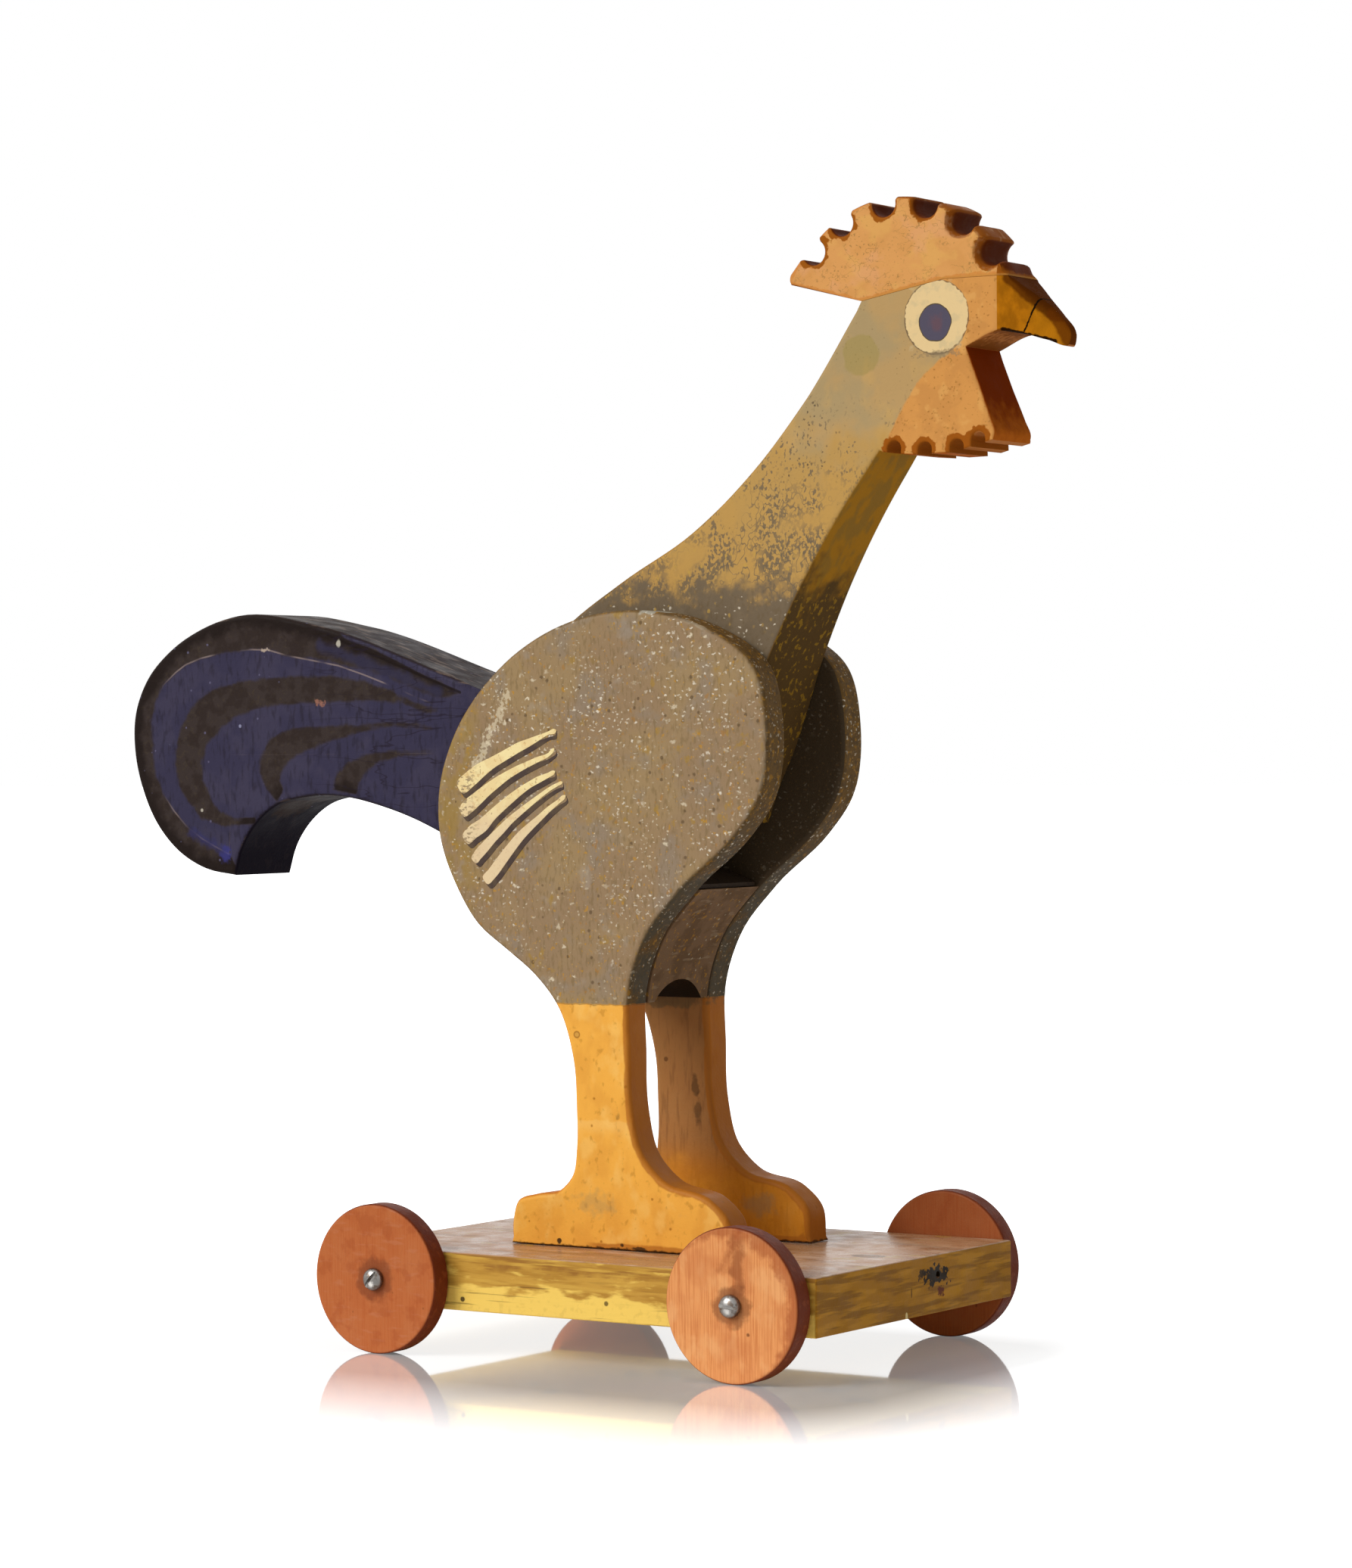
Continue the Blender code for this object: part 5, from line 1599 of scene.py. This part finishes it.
@dataclass
class NeckAndHead:
    """Neck, head, beak and wattle in one board that thins from the body to the head."""

    thickness: float = 43.4
    head_thickness: float = 27.0
    neck_taper: Point = (225.0, 338.0)
    tip_height: float = 357.4
    ridge: Point = (380.0, 1.1)
    ridge_stretch: float = 3.0
    seat_height: float = 373.0
    mouth: Point = (186.0, 350.0)
    wattle: Point = (149.0, 319.0)
    arris: float = 2.0
    fine_arris: float = 1.1
    seam_arris: float = 0.12
    beak_round: float = 5.0
    notch_xs: tuple[float, ...] = (192.1, 182.7, 168.5, 154.7)
    notch_radius: float = 3.0
    notch_depth: float = 4.8

    def wattle_edge(self) -> list[Point]:
        """Draws the wattle's lower edge, right to left, with its half-round notches.

        Returns:
            The points of the edge.
        """
        points = [WATTLE_EDGE[0]]
        lift = self.notch_depth - self.notch_radius
        rim = self.notch_radius
        for x in self.notch_xs:
            base = self.edge_height(x)
            points.append((x + rim, self.edge_height(x + rim)))
            for k in range(17):
                angle = math.pi * k / 16
                points.append((x + rim * math.cos(angle), base + lift + rim * math.sin(angle)))
            points.append((x - rim, self.edge_height(x - rim)))
        return points

    def edge_height(self, x: float) -> float:
        """Height of the wattle's lower edge at an X."""
        xs, heights = zip(*WATTLE_EDGE[::-1])
        return float(np.interp(x, xs, heights))

    def outline(self) -> list[Point]:
        """Draws the whole board.

        Returns:
            The closed outline.
        """
        back = outline_through(NECK_BACK_KNOTS, closed=False)[:-1]
        beak = outline_through(BEAK_KNOTS, closed=False, longest=2.0)[:-1]
        wattle = outline_through(WATTLE_FRONT_KNOTS, closed=False)[:-1]
        breast = outline_through(BREAST_KNOTS, closed=False)
        return [*back, *HEAD_TOP[:-1], *beak, *wattle, *self.wattle_edge(), *breast]

    def reach(self, x: float, height: float) -> Point:
        """Gives the rounding at a place on the outline, in over the face and down the edge."""
        (seat_x, _), (_, _), (root_x, _) = HEAD_TOP
        along = (x - root_x) / (BEAK_TIP - root_x)
        ridge_height, ridge_slope = self.ridge
        mouth_x, mouth_height = self.mouth
        wattle_x, wattle_height = self.wattle
        if x > root_x and height > max(self.tip_height, ridge_height - (x - root_x) * ridge_slope):
            rounding = self.fine_arris + (self.beak_round - self.fine_arris) * math.sin(math.pi * along**2)
            return (rounding, rounding * self.ridge_stretch)
        if seat_x - 0.5 < x < root_x + 0.5 and height > self.seat_height:
            return (self.seam_arris, self.seam_arris)
        if x > mouth_x and height > mouth_height or height < wattle_height and x > wattle_x:
            return (self.fine_arris, self.fine_arris)
        return (worn(self.arris, x, height, 8.0),) * 2

    def planed(self, place: Vector) -> Vector:
        """Thins the board towards the head and towards the tip of the beak."""
        share = share_at(place.z - PLANK_TOP, *self.neck_taper, self.head_thickness / self.thickness)
        share *= share_at(place.x, BEAK_START, BEAK_TIP, TIP_SHARE)
        return Vector((place.x, place.y * share, place.z))

    def build(self) -> None:
        """Makes the board, thins it and marks where its paints meet."""
        points = self.outline()
        insets, drops = zip(*(self.reach(*point) for point in points))
        piece = draw_board("painted_neck_and_head", points, 0.0, self.thickness, insets, drops, 5)
        saw_planes(piece, (0, 0, 1), [height + PLANK_TOP for height in self.neck_taper])
        saw_planes(piece, (1, 0, 0), [BEAK_START])
        carve(piece, self.planed)
        saw_planes(piece, (0, 0, 1), spaced(PLANK_TOP + 230.0, PLANK_TOP + 308.0, 4.0))
        saw_planes(piece, (0, 0, 1), spaced(PLANK_TOP + 310.0, PLANK_TOP + 380.0, 2.0))
        saw_planes(piece, (1, 0, 0), spaced(2.0, 120.0, 4.0))
        saw_planes(piece, (1, 0, 0), spaced(122.0, 224.0, 2.0))
        keep_distance(piece, "salmon", lambda places: inside_mm(places, SALMON_LINE))
        centres = [(x, self.edge_height(x) + self.notch_depth - self.notch_radius) for x in self.notch_xs]
        keep_distance(piece, "notch", lambda places: near_notches(places, centres, self.notch_radius + 1.3))
        finish_piece(piece, NECK_PAINT.material())
        hand_over(piece, "toy", "neck_paint", "neck_and_head")


@dataclass
class Comb:
    """Fan of a comb with half-round notches, on a seat cut to the top of the head."""

    thickness: float = 27.0
    centre: Point = (155.3, 361.6)
    radius: float = 52.4
    rear_arris: float = 1.1
    front_arris: float = 3.2
    front_drop: float = 6.8
    worn_angles: Point = (96.0, 60.0)
    notch_radius: float = 4.9
    notch_depth: float = 7.2
    notch_angles: tuple[float, ...] = (138.6, 119.5, 96.5, 75.5, 55.0, 34.5)
    front_angle: float = 24.0
    softness: float = 1.6
    seam: float = 0.06
    seam_arris: float = 0.12

    def on_rim(self, degrees: float, reach: float | None = None) -> Point:
        """A point of the comb's circle, or nearer its middle when reach says so."""
        turn = math.radians(degrees)
        reach = self.radius if reach is None else reach
        return (self.centre[0] + reach * math.cos(turn), self.centre[1] + reach * math.sin(turn))

    def outline(self) -> list[Point]:
        """Draws the fan from its rear lobe over the notches to the front, and its seat.

        Returns:
            The closed outline.
        """
        points = list(COMB_REAR_POINTS)
        half_notch = math.degrees(math.asin(self.notch_radius / self.radius))
        floor = self.radius - self.notch_depth + self.notch_radius
        for rank, angle in enumerate(self.notch_angles):
            nx, nh = self.on_rim(angle, floor)
            if rank:
                points.append(self.on_rim(angle + half_notch))
            for k in range(19):
                swing = math.radians(angle) + math.pi / 2 + math.pi * k / 18
                points.append(
                    (nx + self.notch_radius * math.cos(swing), nh + self.notch_radius * math.sin(swing))
                )
            points.append(self.on_rim(angle - half_notch))
            if angle != self.notch_angles[-1]:
                low = angle - half_notch
                high = self.notch_angles[rank + 1] + half_notch
                points += [self.on_rim(low + (high - low) * k / 6) for k in range(1, 6)]
        points.append(self.on_rim(self.front_angle))
        points = soften(points, self.softness)
        return points + [(x, height + self.seam) for x, height in HEAD_TOP][::-1]

    def reach(self, x: float, height: float) -> Point:
        """Gives the rounding at a place, in over the face and down the edge: worn at the front."""
        angle = math.degrees(math.atan2(height - self.centre[1], x - self.centre[0]))
        rear, front = self.worn_angles
        worn = min(max((rear - angle) / (rear - front), 0.0), 1.0)
        if min(math.hypot(x - a, height - self.seam - h) for a, h in HEAD_TOP) < 0.1:
            return (self.seam_arris, self.seam_arris)
        fine = self.rear_arris
        return (fine + (self.front_arris - fine) * worn, fine + (self.front_drop - fine) * worn)

    def planed(self, place: Vector) -> Vector:
        """Thins the front of the comb with the beak."""
        return Vector((place.x, place.y * share_at(place.x, BEAK_START, BEAK_TIP, TIP_SHARE), place.z))

    def build(self) -> None:
        """Makes the comb."""
        points = self.outline()
        insets, drops = zip(*(self.reach(*point) for point in points))
        piece = draw_board("painted_comb", points, 0.0, self.thickness, insets, drops, 5)
        saw_planes(piece, (1, 0, 0), [BEAK_START])
        carve(piece, self.planed)
        saw_planes(piece, (1, 0, 0), spaced(108.0, 202.0, 3.0))
        saw_planes(piece, (0, 0, 1), spaced(PLANK_TOP + 378.0, PLANK_TOP + 412.0, 3.0))
        keep_distance(piece, "from_edge", lambda places: inside_mm(places, points))
        floor = self.radius - self.notch_depth + self.notch_radius
        centres = [self.on_rim(angle, floor) for angle in self.notch_angles]
        keep_distance(piece, "notch", lambda places: near_notches(places, centres, self.notch_radius + 1.3))
        finish_piece(piece, COMB_PAINT.material())
        hand_over(piece, "toy", "comb_paint", "comb")


@dataclass
class Tail:
    """The hooked tail board, held between the sides and thinner towards its hook."""

    thickness: float = 43.4
    end_thickness: float = 39.0
    taper: Point = (-50.0, -175.0)
    arris: float = 2.0
    detail: float = 1.8
    hook: Point = (-174.0, 200.0)
    bare: float = 9.0

    def planed(self, place: Vector) -> Vector:
        """Thins the board from the body to the hook."""
        share = share_at(place.x, *self.taper, self.end_thickness / self.thickness)
        return Vector((place.x, place.y * share, place.z))

    def reach(self, x: float, height: float) -> float:
        """Width of the rounding: fine where the board is held in the body."""
        return SEAT if x > self.taper[0] else worn(self.arris, x, height, 5.0)

    def from_scratch(self, places: np.ndarray) -> np.ndarray:
        """Measures how far places lie beside the pale scratch, which stops short of the hook's end."""
        bare = (places[:, 0] > self.hook[0]) & (places[:, 1] < self.hook[1])
        return np.where(bare, self.bare, beside_mm(places, TAIL_SCRATCH))

    def build(self) -> None:
        """Makes the board and marks its brushed bands."""
        points = outline_through(TAIL_KNOTS)
        insets = [self.reach(*point) for point in points]
        piece = draw_board("painted_tail", points, 0.0, self.thickness, insets)
        saw_planes(piece, (1, 0, 0), self.taper)
        carve(piece, self.planed)
        saw_planes(piece, (1, 0, 0), spaced(-226.0, -46.0, self.detail))
        saw_planes(piece, (0, 0, 1), spaced(PLANK_TOP + 148.0, PLANK_TOP + 257.0, self.detail))
        keep_distance(piece, "from_edge", lambda places: inside_mm(places, points))
        keep_distance(piece, "bands", lambda at: np.max([inside_mm(at, band) for band in TAIL_BANDS], 0))
        keep_distance(piece, "scratch", self.from_scratch)
        finish_piece(piece, TAIL_PAINT.material())
        hand_over(piece, "toy", "tail_paint", "tail")


@dataclass
class Plank:
    """The wheeled plank, with its pilot holes, countersunk screw holes and torn cord hole."""

    length: float = 226.0
    width: float = 150.0
    thickness: float = 23.0
    centre_x: float = 41.0
    middle_z: float = 30.0
    arris: float = 0.8
    axle_hole: float = 5.2
    axle_depth: float = 65.0
    foot_hole: float = 5.0
    sink: float = 9.2
    foot_xs: Point = (-1.0, 66.0)
    foot_y: float = 29.25
    cord_y: float = 16.0
    cord_z: float = 33.5
    cord_hole: float = 3.0

    def build(self) -> None:
        """Makes the plank and drills it."""
        clear_selection()
        middle = Vector((self.centre_x, 0.0, self.middle_z)) * MM
        bpy.ops.mesh.primitive_cube_add(size=1.0, location=middle)
        piece = bpy.context.object
        piece.name = piece.data.name = "painted_plank"
        bpy.ops.object.mode_set(mode="EDIT")
        size = Vector((self.length, self.width, self.thickness)) * MM
        bpy.ops.transform.resize(value=size)
        bpy.ops.mesh.bevel(offset=self.arris * MM, segments=4, affect="EDGES")
        bpy.ops.object.mode_set(mode="OBJECT")
        bpy.ops.object.transform_apply()
        front = self.centre_x + self.length / 2
        cutters = [rod(self.cord_hole / 2, 28.6, (front, self.cord_y, self.cord_z), (0, math.pi / 2, 0), 24)]
        for x in (REAR_AXLE_X, FRONT_AXLE_X):
            for y in (-self.width / 2, self.width / 2):
                cutters.append(rod(self.axle_hole / 2, self.axle_depth, (x, y, AXLE_Z), (math.pi / 2, 0, 0)))
        for x in self.foot_xs:
            for y in (-self.foot_y, self.foot_y):
                cutters.append(rod(self.foot_hole / 2, 60.0, (x, y, self.middle_z), (0, 0, 0)))
                cutters.append(rod(self.sink / 2, 4.0, (x, y, self.middle_z - self.thickness / 2), (0, 0, 0)))
        cut_away(piece, *cutters)
        saw_planes(piece, (1, 0, 0), spaced(-70.0, 152.0, 6.0))
        saw_planes(piece, (0, 1, 0), spaced(-72.0, 72.0, 6.0))
        finish_piece(piece, PLANK_PAINT.material())
        hand_over(piece, "toy", "plank_paint", "plank")


@dataclass
class RunningGear:
    """Four turned wheels, each loose on a round-headed screw."""

    diameter: float = 60.0
    thickness: float = 9.6
    arris: float = 1.2
    inner_y: float = 75.6
    bore: float = 2.65
    shank: float = 2.3
    head: float = 4.5
    head_height: float = 3.2
    head_rim: float = 0.6
    grip: float = 32.0
    gap: float = 0.6
    slot_width: float = 1.3
    slot_depth: float = 1.5

    def wheel(self) -> Piece:
        """Turns the front right wheel.

        Returns:
            The wheel.
        """
        radius, soft = self.diameter / 2, self.arris
        outer = -self.inner_y - self.thickness
        corner = [math.pi / 2 * k / 4 for k in range(5)]
        profile = [(self.bore, -self.inner_y)]
        profile += [
            (radius - soft + soft * math.sin(a), -self.inner_y - soft + soft * math.cos(a)) for a in corner
        ]
        profile += [(radius - soft + soft * math.cos(a), outer + soft - soft * math.sin(a)) for a in corner]
        profile += [(self.bore, outer), (self.bore, -self.inner_y)]
        return turn_profile("wheel_blank", profile, (FRONT_AXLE_X, 0.0, AXLE_Z), 96)

    def screw(self) -> Piece:
        """Turns the front right axle screw, without its slot.

        Returns:
            The screw.
        """
        base = -self.inner_y - self.thickness - self.gap
        length = self.grip + self.thickness + 2 * self.gap
        rise = self.head_height - self.head_rim
        profile = [(0.0, base + length), (self.shank, base + length - 6.0), (self.shank, base)]
        profile += [(self.head, base), (self.head, base - self.head_rim)]
        for k in range(1, 9):
            a = math.pi / 2 * k / 8
            profile.append((self.head * math.cos(a), base - self.head_rim - rise * math.sin(a)))
        return turn_profile("screw_blank", profile, (FRONT_AXLE_X, 0.0, AXLE_Z), 48)

    def build(self) -> None:
        """Makes the four wheels and their screws."""
        stain, steel = WHEEL_STAIN.material(), SCREW_STEEL.material()
        wheel_blank, screw_blank = self.wheel(), self.screw()
        slots = {"front_right": 5.0, "rear_right": 130.0, "front_left": 80.0, "rear_left": 25.0}
        for end, step in ((End.FRONT, 0.0), (End.REAR, REAR_AXLE_X - FRONT_AXLE_X)):
            for hand in Hand:
                label = f"{end.value}_{hand.name.lower()}"
                flip = hand is Hand.LEFT
                wheel = copy_moved(wheel_blank, f"turned_wheel_{label}", (step, 0, 0), flip)
                finish_piece(wheel, stain)
                hand_over(wheel, f"{label}_wheel", "wheel_stain", f"wheel_{label}")
                screw = copy_moved(screw_blank, f"round_head_screw_{label}", (step, 0, 0), flip)
                side = hand.value
                face = side * (self.inner_y + self.thickness + self.gap + self.head_height)
                cutter = self.slot((FRONT_AXLE_X + step, face, AXLE_Z),math.radians(slots[label]) * -side)
                cut_away(screw, cutter)
                finish_piece(screw, steel)
                hand_over(screw, "toy", "screw_steel", f"axle_screw_{label}")
        for blank in (wheel_blank, screw_blank):
            bpy.data.objects.remove(blank)

    def slot(self, place: Triple, turn: float) -> Piece:
        """Makes the bar that cuts a screwdriver slot.

        Args:
            place: The crown of the screw head, in mm.
            turn: The slot's turn about Y.

        Returns:
            The bar.
        """
        clear_selection()
        bpy.ops.mesh.primitive_cube_add(size=1.0, location=Vector(place) * MM, rotation=(0.0, turn, 0.0))
        bar = bpy.context.object
        bar.scale = Vector((self.head * 2.4, self.slot_depth * 2, self.slot_width)) * MM
        bpy.ops.object.transform_apply()
        return bar


@dataclass(frozen=True)
class Studio:
    """White floor that is glossy near the toy, one broad soft lamp and a white background."""

    floor_size: float = 40.0
    sky: float = 0.3
    lamp_level: float = 2.3
    lamp_angle: float = 35.0
    lamp_from: Triple = (-0.45, -0.72, 0.53)
    floor_glow: float = 0.12
    floor_gloss: float = 0.5
    floor_mirror: float = 0.46
    gloss_middle: Point = (40.0, -30.0)
    gloss_half: Point = (120.0, 58.0)
    gloss_stretch: Point = (1.5, 1.0)
    gloss_fade: Point = (42.0, 205.0)

    def build(self) -> None:
        """Sets the floor, the lamp, the world and the view transform."""
        self.floor()
        self.world()
        self.lamp()
        bpy.context.scene.view_settings.view_transform = "Standard"

    def floor(self) -> None:
        """Lays the floor: white to the camera, and polished where the toy stands."""
        clear_selection()
        bpy.ops.mesh.primitive_plane_add(size=self.floor_size, location=(0.0, 0.0, 0.0))
        floor = bpy.context.object
        floor.name = floor.data.name = "studio_floor"
        surface = Surface("white_polished_floor")
        shader = surface.shader
        shader.inputs["Base Color"].default_value = linear("#fbfbfb")
        shader.inputs["Roughness"].default_value = 0.04
        coords = surface.add("TexCoord")
        place = surface.add("VectorMath", "SCALE", {0: coords.outputs["Object"], "Scale": 1 / MM})
        from_middle = surface.add("VectorMath", "SUBTRACT", {0: place.outputs[0], 1: (*self.gloss_middle, 0.0)})
        reach = surface.add("VectorMath", "ABSOLUTE", {0: from_middle.outputs[0]})
        beyond = surface.add("VectorMath", "SUBTRACT", {0: reach.outputs[0], 1: (*self.gloss_half, 0.0)})
        outside = surface.add("VectorMath", "MAXIMUM", {0: beyond.outputs[0], 1: (0.0, 0.0, 0.0)})
        stretched = surface.add("VectorMath", "MULTIPLY", {0: outside.outputs[0], 1: (*self.gloss_stretch, 0.0)})
        away = surface.add("VectorMath", "LENGTH", {0: stretched.outputs[0]}).outputs["Value"]
        near, far = self.gloss_fade
        for socket, most in (("Specular IOR Level", self.floor_gloss), ("Metallic", self.floor_mirror)):
            share = surface.add(
                "MapRange", SMOOTH, {"Value": away, 1: near, 2: far, 3: most, 4: 0.0}
            )
            surface.tree.links.new(share.outputs[0], shader.inputs[socket])
        path = surface.add("LightPath")
        level = surface.add("MapRange", inputs={"Value": away, 1: near, 2: far, 3: self.floor_glow, 4: 1.0})
        glow = surface.add("Math", "MULTIPLY", {0: path.outputs["Is Camera Ray"], 1: level.outputs[0]})
        shader.inputs["Emission Color"].default_value = (1.0, 1.0, 1.0, 1.0)
        surface.tree.links.new(glow.outputs[0], shader.inputs["Emission Strength"])
        floor.data.materials.append(surface.material)

    def world(self) -> None:
        """Lights the scene evenly and shows white to the camera and in reflections."""
        world = bpy.data.worlds.new("studio_white")
        bpy.context.scene.world = world
        world.use_nodes = True
        tree = world.node_tree
        background = tree.nodes["Background"]
        background.inputs["Color"].default_value = (1.0, 1.0, 1.0, 1.0)
        path = tree.nodes.new("ShaderNodeLightPath")
        seen = tree.nodes.new("ShaderNodeMath")
        seen.operation = "MAXIMUM"
        tree.links.new(path.outputs["Is Camera Ray"], seen.inputs[0])
        tree.links.new(path.outputs["Is Glossy Ray"], seen.inputs[1])
        level = tree.nodes.new("ShaderNodeMapRange")
        level.inputs["To Min"].default_value = self.sky
        level.inputs["To Max"].default_value = 1.0
        tree.links.new(seen.outputs[0], level.inputs["Value"])
        tree.links.new(level.outputs[0], background.inputs["Strength"])

    def lamp(self) -> None:
        """Adds the one broad lamp, from the camera's left and above."""
        light = bpy.data.lights.new("studio_lamp", "SUN")
        light.energy = self.lamp_level
        light.angle = math.radians(self.lamp_angle)
        lamp = bpy.data.objects.new("studio_lamp", light)
        lamp.location = self.lamp_from
        lamp.rotation_euler = Vector(self.lamp_from).to_track_quat("Z", "Y").to_euler()
        bpy.context.scene.collection.objects.link(lamp)


@dataclass(frozen=True)
class PhotoCamera:
    """The camera at the photograph's place and angle."""

    place: Triple = (1041.6, -1502.4, 243.6)
    yaw: float = 0.587
    pitch: float = -0.009
    roll: float = -0.007
    focal_pixels: float = 5887.4
    height_pixels: float = 2072.0
    sensor: float = 36.0

    def build(self) -> None:
        """Adds the camera and makes it the scene's."""
        data = bpy.data.cameras.new("photo_camera")
        data.sensor_fit = "VERTICAL"
        data.sensor_height = self.sensor
        data.lens = self.focal_pixels / self.height_pixels * self.sensor
        data.clip_start = 0.05
        camera = bpy.data.objects.new("photo_camera", data)
        ahead = Vector((-math.sin(self.yaw), math.cos(self.yaw), math.tan(self.pitch))).normalized()
        level = Vector((math.cos(self.yaw), math.sin(self.yaw), 0.0))
        upward = level.cross(ahead)
        right = math.cos(self.roll) * level + math.sin(self.roll) * upward
        top = math.cos(self.roll) * upward - math.sin(self.roll) * level
        for row in range(3):
            camera.matrix_world[row][0] = right[row]
            camera.matrix_world[row][1] = top[row]
            camera.matrix_world[row][2] = -ahead[row]
            camera.matrix_world[row][3] = self.place[row] * MM
        bpy.context.scene.collection.objects.link(camera)
        bpy.context.scene.camera = camera


def paint_kept_nodes() -> None:
    """Gives the CAD nodes that stay, the dowels and foot screws, their finishes."""
    birch, steel = DOWEL_BIRCH.material(), SCREW_STEEL.material()
    for name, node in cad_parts.items():
        if "dowel" in name or name.startswith("foot_screw"):
            node.data.materials.clear()
            node.data.materials.append(birch if "dowel" in name else steel)


def main() -> None:
    """Builds the camera, the toy and the studio."""
    logging.basicConfig(level=logging.INFO, format="%(message)s")
    PhotoCamera().build()
    for kind in (Plank, RunningGear, SideBoards, LegSpacer, Tail, NeckAndHead, Comb, FeatherStrokes):
        kind().build()
    paint_kept_nodes()
    Studio().build()


if __name__ == "__main__":
    main()
